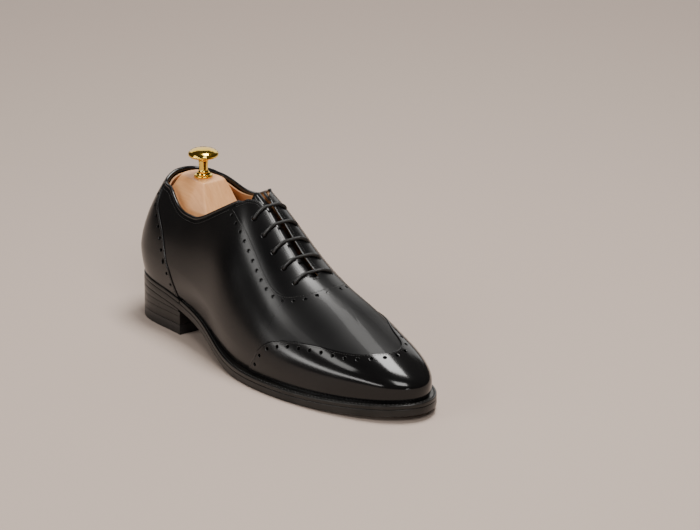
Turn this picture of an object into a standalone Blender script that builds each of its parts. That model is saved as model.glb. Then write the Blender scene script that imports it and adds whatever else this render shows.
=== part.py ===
"""A black leather oxford for the right foot, on its wooden shoe tree.

The shoe is built up the way a welted shoe is: heel lifts, outsole, welt, shank, cork and insole
below, and a leather upper above that follows one foot-shaped last.  Every leather panel is a
stretch of that last surface between two seams, given its thickness by Solidify.
Tables are in millimetres.  x runs from the back of the heel to the toe, y to the inner (medial)
side of the foot and z up.
"""

import math

import bmesh
import bpy
import numpy as np
from mathutils import Vector

MM = 0.001
ORIGIN = np.array([151.16, -2.59, 0.0])      # middle of the whole shoe's box, on the ground

# ---- driving dimensions -------------------------------------------------------------------

SOLE_EDGE = 8.4            # welt and outsole together at the edge
WELT = 3.0
GAP = 0.3                  # clearance between neighbouring solids
HEEL_BREAST = 66.0         # front face of the heel
TOP_PIECE = 7.7            # rubber and leather tap under the heel
LEATHER = 1.2              # outer leather
LINING = 1.0
STIFFENER = 0.8            # toe puff and heel stiffener
STIFFENER_OUT = -1.7       # their outer face, below the outer leather's
INSOLE = 2.5
SOCK = 1.0
LACE = 2.4                 # diameter of the round lace
EYELET = 4.6               # diameter of a lace hole
KNOB = 22.8                # diameter of the tree's knob
TUBE = 10.0                # outer diameter of the tree's tube
TREE_SLOPE = math.radians(10)

# Edge of the sole seen from above, round from the back of the heel by the outer side.
OUTLINE = [(-1.5, 0), (0.5, -15.5), (8.5, -28.5), (24, -35.5), (50, -35.8), (78, -36),
           (104, -40.3), (128, -46.6), (152, -51.6), (176, -53.4), (200, -51.9), (223, -47.6),
           (246, -40.8), (268, -31.3), (289.5, -17.5), (302, -2.5), (305, 10), (300.5, 22.5),
           (285.5, 35), (262, 44), (236, 48), (208, 47), (180, 42), (152, 35), (124, 29.5),
           (96, 28.5), (70, 31), (48, 34.5), (26, 33.5), (9.5, 27), (1, 15)]
LOOP = 720                 # points that the edge is divided into


def smooth_curve(table):
    """The natural cubic through (x, value) pairs, as a function of x held level past its ends."""
    xs, ys = np.array(table, float).T
    count = len(xs)
    step = np.diff(xs)
    matrix = np.eye(count)
    right = np.zeros(count)
    for i in range(1, count - 1):
        matrix[i, i - 1:i + 2] = step[i - 1], 2 * (step[i - 1] + step[i]), step[i]
        right[i] = 6 * ((ys[i + 1] - ys[i]) / step[i] - (ys[i] - ys[i - 1]) / step[i - 1])
    bend = np.linalg.solve(matrix, right)

    def value(x):
        x = np.clip(np.asarray(x, float), xs[0], xs[-1])
        i = np.clip(np.searchsorted(xs, x, side="right") - 1, 0, count - 2)
        h = step[i]
        after, before = xs[i + 1] - x, x - xs[i]
        cubic = (bend[i] * after ** 3 + bend[i + 1] * before ** 3) / (6 * h)
        low, high = ys[i] / h - bend[i] * h / 6, ys[i + 1] / h - bend[i + 1] * h / 6
        return cubic + low * after + high * before

    return value


def straight_curve(table):
    """Straight lines through (x, value) pairs."""
    xs, ys = np.array(table, float).T
    return lambda x: np.interp(x, xs, ys)


def closed_spline(points, count):
    """Points evenly spaced along the closed cubic through the given points."""
    p = np.array(points, float)
    n = len(p)
    chord = np.sqrt(np.linalg.norm(np.roll(p, -1, 0) - p, axis=1))
    matrix = np.zeros((n, n))
    right = np.zeros((n, 2))
    for i in range(n):
        h0, h1 = chord[i - 1], chord[i]
        matrix[i, i - 1] += h0
        matrix[i, i] += 2 * (h0 + h1)
        matrix[i, (i + 1) % n] += h1
        right[i] = 6 * ((p[(i + 1) % n] - p[i]) / h1 - (p[i] - p[i - 1]) / h0)
    bend = np.linalg.solve(matrix, right)
    pieces = []
    for i in range(n):
        h, j = chord[i], (i + 1) % n
        before = np.linspace(0, h, 60, endpoint=False)[:, None]
        after = h - before
        cubic = (bend[i] * after ** 3 + bend[j] * before ** 3) / (6 * h)
        pieces.append(cubic + (p[i] / h - bend[i] * h / 6) * after
                      + (p[j] / h - bend[j] * h / 6) * before)
    dense = np.vstack(pieces + [pieces[0][:1]])
    length = np.concatenate([[0], np.cumsum(np.linalg.norm(np.diff(dense, axis=0), axis=1))])
    even = np.linspace(0, length[-1], count, endpoint=False)
    return np.stack([np.interp(even, length, dense[:, k]) for k in range(2)], 1)


# ---- the last: heights and widths along the foot ------------------------------------------

sole_top = smooth_curve([(0, 35), (20, 34), (45, 31.2), (66, 27.6), (85, 24.2), (105, 20),
                         (125, 14.8), (145, 10.4), (165, 8.6), (190, 8.4), (215, 8.5),
                         (245, 9.4), (275, 11.3), (304, 13.8)])
ridge = smooth_curve([(38, 130), (70, 134), (105, 129), (130, 118), (150, 104), (168, 91),
                      (190, 77.5), (220, 65), (250, 54), (275, 46.5), (304, 36)])
midline = smooth_curve([(40, 0), (70, -1), (105, -2.5), (150, -3), (190, -3), (215, 1),
                        (230, 3)])
power_outer = smooth_curve([(38, 1.5), (105, 1.5), (130, 1.65), (150, 1.65), (180, 1.7),
                            (220, 1.8), (250, 2.05), (275, 2.3), (304, 2.4)])
power_inner = smooth_curve([(38, 1.5), (70, 1.65), (105, 2.0), (130, 2.2), (150, 2.3),
                            (180, 2.3), (220, 2.15), (250, 2.15), (275, 2.3), (304, 2.4)])
bulge_outer = smooth_curve([(0, 2.8), (40, 3.2), (80, 3.5), (120, 2.5), (170, 1.0),
                            (220, 0.6), (304, 1.2)])
bulge_inner = smooth_curve([(0, 2.8), (40, 3.2), (80, 6), (120, 6), (170, 1.5),
                            (220, 0.6), (304, 1.2)])
widest_up = smooth_curve([(0, 20), (40, 22), (90, 23), (130, 20), (170, 14), (220, 10),
                          (304, 9)])
welt_ledge = smooth_curve([(0, 1.6), (80, 1.8), (120, 3.0), (150, 4.6), (304, 5.0)])
HEEL_CENTRE = 40.0         # ribs of the last fan out round these two points
TOE_CENTRE = 226.0
FAN_BLEND = 14.0

EDGE = closed_spline(OUTLINE, LOOP)
tangent = np.roll(EDGE, -1, 0) - np.roll(EDGE, 1, 0)
tangent /= np.linalg.norm(tangent, axis=1)[:, None]
OUTWARD = np.stack([tangent[:, 1], -tangent[:, 0]], 1)
TOE = int(np.argmax(EDGE[:, 0]))


def soft_clip(x):
    """x held between the two fan centres, with rounded corners."""
    low = HEEL_CENTRE + FAN_BLEND * np.logaddexp(0, (x - HEEL_CENTRE) / FAN_BLEND)
    return TOE_CENTRE - FAN_BLEND * np.logaddexp(0, (TOE_CENTRE - low) / FAN_BLEND)


def inset_loop(inset):
    """The sole's edge moved in by a distance, or by a function of x."""
    distance = inset(EDGE[:, 0]) if callable(inset) else np.full(LOOP, float(inset))
    return EDGE - OUTWARD * distance[:, None]


FEATHER = inset_loop(welt_ledge)           # where the upper meets the welt
OUTER_SIDE = np.arange(LOOP) <= TOE
BULGE = np.where(OUTER_SIDE, bulge_outer(EDGE[:, 0]), bulge_inner(EDGE[:, 0]))
WIDEST = FEATHER + OUTWARD * BULGE[:, None]
CENTRE = np.stack([soft_clip(FEATHER[:, 0]), midline(soft_clip(FEATHER[:, 0]))], 1)
FEATHER_Z = sole_top(FEATHER[:, 0])
WIDEST_Z = FEATHER_Z + widest_up(FEATHER[:, 0])


def last_surface(i, v):
    """A point of the upper's outer face.

    i counts round the sole's edge; v runs from 0 at the welt to 1 at the widest height and to 2
    at the ridge.
    """
    i = np.asarray(i, float)
    v = np.asarray(v, float)
    first = np.floor(i).astype(int) % LOOP
    part = i - np.floor(i)

    def between(values):
        return (values[first].T * (1 - part) + values[(first + 1) % LOOP].T * part).T

    feather, widest, centre = between(FEATHER), between(WIDEST), between(CENTRE)
    z0, z1 = between(FEATHER_Z), between(WIDEST_Z)
    rise = np.clip(v, 0, 1)
    low = feather + (widest - feather) * np.sin(rise * np.pi / 2)[..., None]
    inner = np.clip((feather[..., 1] - centre[..., 1]) / 24 + 0.5, 0, 1)
    turn = np.clip(v - 1, 0, 1) * np.pi / 2

    def power(x):
        return power_outer(x) * (1 - inner) + power_inner(x) * inner

    reach = np.maximum(np.cos(turn), 0) ** (2 / power(centre[..., 0]))
    n = power((centre + (widest - centre) * reach[..., None])[..., 0])
    reach = np.maximum(np.cos(turn), 0) ** (2 / n)
    high = centre + (widest - centre) * reach[..., None]
    z_high = z1 + (ridge(high[..., 0]) - z1) * np.sin(turn) ** (2 / n)
    above = v > 1
    plan = np.where(above[..., None], high, low)
    z = np.where(above, z_high, z0 + (z1 - z0) * rise)
    return np.concatenate([plan, z[..., None]], -1)


def last_normal(i, v):
    """The outward unit normal of the last surface."""
    i, v = np.broadcast_arrays(np.asarray(i, float), np.asarray(v, float))
    di, dv = 1.5, 0.012
    up = np.minimum(v + dv, 1.97)
    along = last_surface(i + di, np.minimum(v, 1.97)) - last_surface(i - di, np.minimum(v, 1.97))
    rise = last_surface(i, up) - last_surface(i, up - 2 * dv)
    normal = np.cross(along, rise)
    normal /= np.linalg.norm(normal, axis=-1)[..., None]
    return normal


def offset_surface(i, v, out):
    """The last surface moved out (or in, below zero) along its normal."""
    out = np.asarray(out, float)
    return last_surface(i, v) + last_normal(i, v) * out[..., None]


def side_index(x, side):
    """The place round the edge where the welt line is at x; side is -1 outer, +1 inner."""
    xs = FEATHER[:, 0]
    start, end = int(np.argmin(xs)), TOE
    if side < 0:
        i = np.arange(start, end + 1)
        return float(np.interp(x, xs[i], i))
    i = np.arange(start + LOOP, end - 1, -1)
    return float(np.interp(x, xs[i % LOOP], i))


def rib_x(i):
    """x of the welt line at a rib."""
    return float(np.interp(i % LOOP, np.arange(LOOP + 1), np.append(FEATHER[:, 0],
                                                                    FEATHER[0, 0])))


def crest_point(x, y, out):
    """A point of the last at a place seen from above, near the ridge."""
    side = -1 if y < midline(x) else 1
    i = side_index(x, side)
    centre = float(midline(x))
    half = abs(float(np.interp(i, np.arange(LOOP), WIDEST[:, 1])) - centre)
    n = float(power_outer(x) if side < 0 else power_inner(x))
    reach = min(abs(y - centre) / half, 1.0)
    v = 1 + 2 / math.pi * math.acos(min(reach ** (n / 2), 1.0))
    return offset_surface(i, v, np.float64(out))


# ---- seams: height v on the last, by x of the welt line -----------------------------------

topline_outer = smooth_curve([(0, 1.595), (6, 1.565), (14, 1.53), (29, 1.52), (44, 1.46), (58, 1.415),
                              (68, 1.415), (76, 1.425), (86, 1.468), (96, 1.53), (107, 1.615),
                              (112, 1.665), (117, 1.725), (121, 1.79), (124, 1.865),
                              (127.5, 1.925)])
topline_inner = smooth_curve([(0, 1.595), (6, 1.58), (14, 1.576), (29, 1.572), (44, 1.543),
                              (58, 1.495), (68, 1.473), (76, 1.472), (86, 1.49), (96, 1.54),
                              (107, 1.625),
                              (112, 1.68), (117, 1.74), (121, 1.80), (124, 1.875),
                              (127.5, 1.955)])
counter_seam = straight_curve([(0, 2), (14, 1.52), (23, 1.395), (32, 1.335), (42, 1.255),
                               (49, 1.13), (54.5, 0.98), (57, 0.58), (60, 0.28), (62.5, 0)])
facing_seam = smooth_curve([(113, 1.655), (122, 1.65), (139, 1.635), (153, 1.612), (167, 1.583),
                            (176, 1.575), (184, 1.585), (193, 1.645), (199, 1.725),
                            (204, 1.83), (208, 2.0)])
THROAT_EDGE = {-1: 1.925, 1: 1.955}        # v of the two edges of the lace opening
wing_outer = smooth_curve([(174, 0.1), (176, 0.5), (179, 0.86), (182, 1.05), (186, 1.13),
                           (192, 1.21), (202, 1.28), (212, 1.33), (225, 1.37), (238, 1.41),
                           (251, 1.435), (266, 1.465), (280, 1.51), (294, 1.57), (302, 1.595)])
wing_inner = smooth_curve([(174, 0.1), (176, 0.5), (179, 0.86), (182, 1.07), (186, 1.16),
                           (192, 1.26), (202, 1.35), (212, 1.41), (225, 1.47), (238, 1.53),
                           (251, 1.59), (262, 1.62), (275, 1.63), (285, 1.60), (294, 1.59),
                           (302, 1.595)])
THROAT_END = 193.0
FACING_FRONT = 208.0
WING_START = 174.0
COUNTER_FRONT = 62.5
FACING_BACK = 113.0
COLLAR_CORNER = 127.5
EYELET_X = [135.5, 148.5, 161.5, 174.8, 188.5]
EYELET_V = 1.757

# x of the welt line at each rib that carries a column of faces
RIB_X = [2, 5, 9.5, 16, 23, 32, 42, 49, 54.5, 57, 60, 62.5, 72, 84, 96, 104, 113, 117, 122, 127.5,
         135, 143, 151, 160, 168, 174, 176, 179, 182, 186, 193, 199, 204, 208, 216, 225, 234,
         243, 252, 261, 270, 279, 287, 294, 299]
LINING_SEAM = 104.0        # the quarter lining meets the vamp lining here


def topline(x, side):
    return float(topline_outer(x) if side < 0 else topline_inner(x))


def wing(x, side):
    return float(wing_outer(x) if side < 0 else wing_inner(x))


# ---- making objects -----------------------------------------------------------------------

for old in list(bpy.data.objects):
    bpy.data.objects.remove(old, do_unlink=True)

SHOE = bpy.data.collections.new("oxford_shoe")
CUTTERS = bpy.data.collections.new("cutters")
bpy.context.scene.collection.children.link(SHOE)
bpy.context.scene.collection.children.link(CUTTERS)


def make_material(name, colour, roughness, metallic=0.0):
    material = bpy.data.materials.new(name)
    material.use_nodes = True
    shader = material.node_tree.nodes["Principled BSDF"]
    shader.inputs["Base Color"].default_value = (*colour, 1.0)
    shader.inputs["Roughness"].default_value = roughness
    shader.inputs["Metallic"].default_value = metallic
    material.diffuse_color = (*colour, 1.0)
    return material


BLACK = make_material("black_calf", (0.012, 0.012, 0.013), 0.25)
EDGE_BLACK = make_material("sole_edge_black", (0.02, 0.019, 0.018), 0.4)
RUBBER = make_material("heel_rubber", (0.03, 0.03, 0.03), 0.7)
TAN = make_material("tan_lining", (0.45, 0.27, 0.14), 0.6)
BOARD = make_material("leather_board", (0.40, 0.26, 0.16), 0.8)
CORK = make_material("cork", (0.35, 0.22, 0.12), 0.9)
STEEL = make_material("spring_steel", (0.55, 0.56, 0.58), 0.3, 1.0)
BRASS = make_material("polished_brass", (0.85, 0.60, 0.18), 0.12, 1.0)
BEECH = make_material("pale_wood", (0.72, 0.49, 0.32), 0.5)
LACE_BLACK = make_material("waxed_cotton", (0.01, 0.01, 0.01), 0.5)


def link(name, mesh, material, collection=SHOE):
    obj = bpy.data.objects.new(name, mesh)
    collection.objects.link(obj)
    mesh.materials.append(material)
    return obj


def build_mesh(name, points, faces):
    """A mesh from points in millimetres, with coinciding points joined."""
    bm = bmesh.new()
    verts = [bm.verts.new(Vector((np.asarray(p) - ORIGIN) * MM)) for p in points]
    for face in faces:
        bm.faces.new([verts[k] for k in face])
    bmesh.ops.remove_doubles(bm, verts=bm.verts, dist=0.00002)
    bmesh.ops.dissolve_degenerate(bm, dist=0.00001, edges=bm.edges)
    mesh = bpy.data.meshes.new(name)
    bm.to_mesh(mesh)
    bm.free()
    return mesh


def solid_mesh(name, points, faces):
    """A closed mesh with its faces turned outwards."""
    mesh = build_mesh(name, points, faces)
    bm = bmesh.new()
    bm.from_mesh(mesh)
    bmesh.ops.recalc_face_normals(bm, faces=bm.faces)
    if bm.calc_volume(signed=True) < 0:
        bmesh.ops.reverse_faces(bm, faces=bm.faces)
    bm.to_mesh(mesh)
    bm.free()
    return mesh


def grid_faces(rows, columns, start=0):
    """Quads of a grid of rows by columns of points, stored row by row."""
    faces = []
    for r in range(rows - 1):
        for c in range(columns - 1):
            k = start + r * columns + c
            faces.append((k, k + columns, k + columns + 1, k + 1))
    return faces


def shell(name, ribs, out, thickness, material, rows, edge_gap=0.3):
    """A leather panel over a run of ribs, each (i, lowest v, highest v), with its thickness.

    ribs is a list of runs; runs that share points are joined.  out is the offset of the outer
    face, a number or a function of x.
    """
    points, faces = [], []
    for run in ribs:
        start = len(points)
        grid = []
        for i, low, high in run:
            v = np.linspace(low, high, rows)
            lift = float(out(rib_x(i))) if callable(out) else out
            column = offset_surface(np.full(rows, i), v, np.full(rows, lift))
            column[0] += shorten(column[1] - column[0], edge_gap)
            if high < 2:
                column[-1] += shorten(column[-2] - column[-1], edge_gap)
            grid.append(column)
        for column in grid:
            points.extend(column)
        faces += grid_faces(len(grid), rows, start)
    mesh = build_mesh(name, points, faces)
    obj = link(name, mesh, material)
    solidify = obj.modifiers.new("leather thickness", "SOLIDIFY")
    solidify.thickness = thickness * MM
    solidify.offset = -1
    mesh.shade_smooth()
    return obj


def shorten(vector, length):
    return vector / max(np.linalg.norm(vector), 1e-6) * length


def side_run(side, low, high, first, last, toe=False):
    """Ribs on one side between two x, each with its lowest and highest v as functions of x."""
    xs = [x for x in RIB_X if first <= x <= last]
    if first > 0 and xs[0] - first > 0.5:
        xs = [first] + xs
    run = [(side_index(x, side), low(x, side), high(x, side)) for x in xs]
    if toe:
        run.append((float(TOE), low(305, side), high(305, side)))
    return run if side < 0 else run[::-1]


def round_heel(low, high, last):
    """Ribs from the inner side round the back of the heel to the outer side."""
    inner = [(i - LOOP, lo, hi) for i, lo, hi in side_run(1, low, high, 0, last)]
    back = float(np.argmin(FEATHER[:, 0]))
    back = back - LOOP if back > LOOP / 2 else back
    return inner + [(back, low(0, -1), high(0, -1))] + side_run(-1, low, high, 0, last)


def round_toe(low, high, first):
    """Ribs from the outer side round the toe to the inner side."""
    return side_run(-1, low, high, first, 305, toe=True) + side_run(1, low, high, first, 305)


WELT_LIFT = 0.03           # v at which the panels start, just clear of the welt


def ground_line(x, side):
    return WELT_LIFT


# ---- sole and heel ------------------------------------------------------------------------


def plate(name, inset, x_from, x_to, z_low, z_high, material, stations=26, columns=5):
    """A flat layer within the inset outline between two x; z_low and z_high are functions of x."""
    loop = inset_loop(inset)
    back, toe = int(np.argmin(loop[:, 0])), int(np.argmax(loop[:, 0]))
    outer = np.arange(back if back < LOOP / 2 else back - LOOP, toe + 1)
    inner = np.arange(back + (LOOP if back < LOOP / 2 else 0), toe - 1, -1)
    x0, x1 = max(x_from, loop[back, 0]), min(x_to, loop[toe, 0])
    angle = np.linspace(0, np.pi, stations)
    ease = (1 - np.cos(angle)) / 2
    xs = x0 + (x1 - x0) * ease
    y_outer = np.interp(xs, loop[outer % LOOP, 0], loop[outer % LOOP, 1])
    y_inner = np.interp(xs, loop[inner % LOOP, 0], loop[inner % LOOP, 1])
    across = np.linspace(0, 1, columns)
    top, bottom = [], []
    for x, y0, y1 in zip(xs, y_outer, y_inner):
        for part in across:
            y = y0 + (y1 - y0) * part
            top.append((x, y, float(z_high(x))))
            bottom.append((x, y, float(z_low(x))))
    points = top + bottom
    count = len(top)
    faces = grid_faces(stations, columns)
    faces += [tuple(k + count for k in face) for face in grid_faces(stations, columns)]
    rim = [(s * columns, (s + 1) * columns) for s in range(stations - 1)]
    rim += [(s * columns + columns - 1, (s + 1) * columns + columns - 1)
            for s in range(stations - 1)]
    rim += [(c, c + 1) for c in range(columns - 1)]
    rim += [((stations - 1) * columns + c, (stations - 1) * columns + c + 1)
            for c in range(columns - 1)]
    faces += [(a, b, b + count, a + count) for a, b in rim]
    return link(name, solid_mesh(name, points, clean_faces(points, faces)), material)


def clean_faces(points, faces):
    """Faces without the ones that have no area because points coincide."""
    kept = []
    for face in faces:
        distinct = {tuple(np.round(points[k], 4)) for k in face}
        if len(distinct) >= 3:
            kept.append(face)
    return kept


def strip(name, indices, inset_out, inset_in, z_low, z_high, material):
    """A strip along the sole's edge with a square section."""
    outer, inner = inset_loop(inset_out), inset_loop(inset_in)
    points, faces = [], []
    for i in indices:
        for loop, z in ((outer, z_low), (inner, z_low), (inner, z_high), (outer, z_high)):
            x, y = loop[i % LOOP]
            points.append((x, y, float(z(x))))
    for k in range(len(indices) - 1):
        for c in range(4):
            d = (c + 1) % 4
            faces.append((4 * k + c, 4 * k + d, 4 * k + 4 + d, 4 * k + 4 + c))
    last = 4 * (len(indices) - 1)
    faces += [(0, 1, 2, 3), (last, last + 1, last + 2, last + 3)]
    return link(name, solid_mesh(name, points, faces), material)


def outsole_low(x):
    return np.maximum(sole_top(x) - SOLE_EDGE, 0)


def outsole_top(x):
    return sole_top(x) - WELT - GAP


def welt_low(x):
    return sole_top(x) - WELT


def seat_line(x):
    """Underside of the wedge that levels the heel seat, seen as the upper line in the heel."""
    return 21.0 - 3.0 * (np.asarray(x) + 1.5) / (HEEL_BREAST + 1.5)


LIFT_MIDDLE = 14.2         # joint between the two heel lifts


def make_sole():
    plate("outsole", 0, -10, 400, outsole_low, outsole_top, EDGE_BLACK, stations=34)
    plate("heel_seat_wedge", 0, -10, HEEL_BREAST - 2, lambda x: seat_line(x),
          lambda x: outsole_low(x) - GAP, EDGE_BLACK, stations=16)
    plate("heel_lift_upper", 0, -10, HEEL_BREAST, lambda x: LIFT_MIDDLE + GAP,
          lambda x: seat_line(x) - GAP, EDGE_BLACK, stations=16)
    plate("heel_lift_lower", 0, -10, HEEL_BREAST, lambda x: TOP_PIECE + GAP,
          lambda x: LIFT_MIDDLE, EDGE_BLACK, stations=16)
    plate("heel_top_piece", 0, -10, HEEL_BREAST, lambda x: 0.0, lambda x: TOP_PIECE, RUBBER,
          stations=16)
    breast_outer = int(side_index(HEEL_BREAST, -1))
    breast_inner = int(side_index(HEEL_BREAST, 1))
    welt_steps = list(range(breast_outer + 1, breast_inner, 9)) + [breast_inner]
    rand_steps = list(range(breast_inner + 1 - LOOP, breast_outer, 7)) + [breast_outer]
    strip("welt", welt_steps, 0, 12, welt_low, sole_top, EDGE_BLACK)
    strip("heel_rand", rand_steps, 0, 9, welt_low, sole_top, EDGE_BLACK)
    plate("cork_filler", 12.6, 130, 288, welt_low, lambda x: sole_top(x) - 0.1, CORK,
          stations=18, columns=4)
    plate("insole", lambda x: welt_ledge(x) + 5.4, -10, 400, lambda x: sole_top(x) + GAP,
          lambda x: sole_top(x) + GAP + INSOLE, BOARD, stations=28)
    plate("sock_liner", lambda x: welt_ledge(x) + 6.0, -10, 400,
          lambda x: sole_top(x) + 2 * GAP + INSOLE,
          lambda x: sole_top(x) + 2 * GAP + INSOLE + SOCK, TAN, stations=28)
    shank_half = 7.0
    xs = np.linspace(50, 124, 10)
    points, faces = [], []
    for x in xs:
        for y, z in ((-shank_half, -2.7), (shank_half, -2.7), (shank_half, -1.1),
                     (-shank_half, -1.1)):
            points.append((x, y + float(midline(x)), float(sole_top(x)) + z))
    for k in range(len(xs) - 1):
        for c in range(4):
            d = (c + 1) % 4
            faces.append((4 * k + c, 4 * k + d, 4 * k + 4 + d, 4 * k + 4 + c))
    end = 4 * (len(xs) - 1)
    faces += [(0, 1, 2, 3), (end, end + 1, end + 2, end + 3)]
    link("shank", solid_mesh("shank", points, faces), STEEL)


# ---- leather panels -----------------------------------------------------------------------


def counter_top(x, side):
    return max(min(topline(x, side), float(counter_seam(x))), 0.12)


def body_low(x, side):
    if x < COUNTER_FRONT:
        return max(float(counter_seam(x)), WELT_LIFT)
    if x < WING_START:
        return WELT_LIFT
    return wing(x, side)


def body_high(x, side):
    if x < FACING_BACK:
        return topline(x, side)
    if x < FACING_FRONT:
        return min(float(facing_seam(x)), topline(x, side))
    return 2.0


def facing_high(x, side):
    if x < COLLAR_CORNER:
        return topline(x, side)
    if x <= THROAT_END:
        return THROAT_EDGE[side]
    return 2.0


def lining_high(x, side):
    return facing_high(x, side) if x < THROAT_END + 1 else 2.0


def part_way(high, part):
    """A height between the welt and an upper edge, so that stacked panels share their rows."""
    return lambda x, side: WELT_LIFT + (high(x, side) - WELT_LIFT) * part


def lining_out(x):
    """The lining lies deeper where a stiffener is sandwiched in, at the heel and the toe."""
    deep = straight_curve([(62, 1), (84, 0), (208, 0), (225, 1)])
    return -2.1 - 1.4 * deep(x)


def make_panels():
    counter_run = round_heel(ground_line, counter_top, 60)
    shell("heel_counter", [counter_run], 0, LEATHER, BLACK, 9)
    back = side_run(-1, body_low, body_high, 16, 400, toe=True)
    front = side_run(1, body_low, body_high, 16, 400)
    shell("vamp_and_quarters", [back + front], 0, LEATHER, BLACK, 10)
    shell("toe_wing", [round_toe(ground_line, wing, WING_START)], 0, LEATHER, BLACK, 8)
    facing_outer = side_run(-1, lambda x, s: float(facing_seam(x)), facing_high,
                            FACING_BACK, FACING_FRONT)
    facing_inner = side_run(1, lambda x, s: float(facing_seam(x)), facing_high,
                            FACING_BACK, FACING_FRONT)
    facing = shell("facing", [facing_outer, facing_inner], 0, LEATHER, BLACK, 5, edge_gap=0.4)
    shell("quarter_lining", [round_heel(ground_line, topline, LINING_SEAM)], lining_out,
          LINING, TAN, 9)
    lining = shell("vamp_lining", [round_toe(ground_line, lining_high, LINING_SEAM + 0.7)],
                   lining_out, LINING, TAN, 10)
    stiff = round_heel(part_way(counter_top, 1 / 8), part_way(counter_top, 6 / 8), 57)
    shell("heel_stiffener", [stiff], STIFFENER_OUT, STIFFENER, BOARD, 6)
    puff = round_toe(part_way(wing, 1 / 7), part_way(wing, 6 / 7), 234)
    shell("toe_puff", [puff], STIFFENER_OUT, STIFFENER, BOARD, 6)
    return facing, lining


def cut_eyelets(panels):
    for side in (-1, 1):
        for number, x in enumerate(EYELET_X, 1):
            i = side_index(x, side)
            place = (last_surface(i, EYELET_V) - ORIGIN) * MM
            normal = Vector(last_normal(i, EYELET_V))
            bm = bmesh.new()
            bmesh.ops.create_cone(bm, cap_ends=True, segments=8, radius1=EYELET / 2 * MM,
                                  radius2=EYELET / 2 * MM, depth=12 * MM)
            mesh = bpy.data.meshes.new("eyelet cutter")
            bm.to_mesh(mesh)
            bm.free()
            name = f"eyelet_cutter_{'outer' if side < 0 else 'inner'}_{number}"
            cutter = link(name, mesh, BLACK, CUTTERS)
            cutter.location = place
            cutter.rotation_euler = normal.to_track_quat("Z", "Y").to_euler()
            cutter.hide_render = True
            cutter.display_type = "WIRE"
            for panel in panels:
                cut = panel.modifiers.new(name, "BOOLEAN")
                cut.operation = "DIFFERENCE"
                cut.object = cutter


def tube(name, points, radius, material, resolution=2):
    """A round tube along points in millimetres."""
    curve = bpy.data.curves.new(name, "CURVE")
    curve.dimensions = "3D"
    spline = curve.splines.new("POLY")
    spline.points.add(len(points) - 1)
    for target, point in zip(spline.points, points):
        target.co = (*((np.asarray(point) - ORIGIN) * MM), 1)
    curve.bevel_depth = radius * MM
    curve.bevel_resolution = resolution
    curve.use_fill_caps = True
    curve.materials.append(material)
    obj = bpy.data.objects.new(name, curve)
    SHOE.objects.link(obj)
    return obj


def make_collar():
    """The rolled cord of leather along the top of the collar, from corner to corner."""
    run = round_heel(topline, topline, COLLAR_CORNER - 4)
    points = []
    for i, v, _ in run:
        top = offset_surface(i, v, np.float64(-1.4))
        below = offset_surface(i, v - 0.03, np.float64(-1.4))
        points.append(top + shorten(top - below, 1.9))
    tube("collar_piping", points, 1.3, BLACK)


TONGUE_TOP, TONGUE_FRONT = 120.0, 204.0    # x of the tongue's two ends


def tongue_out(y):
    away = np.clip((abs(y) - 2) / 9, 0, 1)
    return -3.9 - 3.6 * away * away * (3 - 2 * away)


def make_tongue():
    xs = np.linspace(TONGUE_TOP, TONGUE_FRONT, 14)
    for name, deeper, thick, material, half in (("tongue", 0, 1.3, BLACK, 23),
                                                ("tongue_lining", 2.2, 0.9, TAN, 22)):
        ys = np.linspace(-half, half, 13)
        points = [crest_point(x, y + float(midline(x)), tongue_out(y) - deeper)
                  for x in xs for y in ys]
        mesh = build_mesh(name, points, grid_faces(len(xs), len(ys)))
        obj = link(name, mesh, material)
        solidify = obj.modifiers.new("leather thickness", "SOLIDIFY")
        solidify.thickness = thick * MM
        solidify.offset = -1
        mesh.shade_smooth()


# ---- lace ---------------------------------------------------------------------------------

OVER, UNDER = 1.75, -5.1   # height of the lace's middle over and under the facings


def lace_route():
    """One lace: a bar over each pair of eyelets, passing up one side and then the other."""
    points = []

    def at(x, side, v, out):
        return offset_surface(side_index(x, side), v, np.float64(out))

    def bar(x, side):
        """Up through one eyelet, over the facings and down the other."""
        points.append(at(x, side, EYELET_V, UNDER + 1.2))
        points.append(at(x, side, EYELET_V, -1.2))
        points.append(at(x, side, EYELET_V, 0.6))
        for lift, v in ((OVER, EYELET_V + 0.035), (OVER + 0.25, 1.80), (OVER + 0.2, 1.90)):
            points.append(at(x, side, v, lift))
        for v, lift in ((1.90, OVER + 0.2), (1.80, OVER + 0.25), (EYELET_V + 0.035, OVER)):
            points.append(at(x, -side, v, lift))
        points.append(at(x, -side, EYELET_V, 0.6))
        points.append(at(x, -side, EYELET_V, -1.2))
        points.append(at(x, -side, EYELET_V, UNDER + 1.2))

    front_first = EYELET_X[::-1]
    side = -1
    for x in np.linspace(front_first[0] + 14, front_first[0] + 3, 3):
        points.append(at(x, side, EYELET_V - 0.02, UNDER - 0.1))
    for number, x in enumerate(front_first):
        bar(x, side)
        side = -side
        if number + 1 < len(front_first):
            back = front_first[number + 1]
            for part in (0.22, 0.5, 0.78):
                points.append(at(x + (back - x) * part, side, EYELET_V - 0.02, UNDER))
    for x in (front_first[-1] - 3, front_first[-1] - 8, front_first[-1] - 13):
        points.append(at(x, side, EYELET_V - 0.02, UNDER - 0.1))
    return np.array(points)


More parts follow.
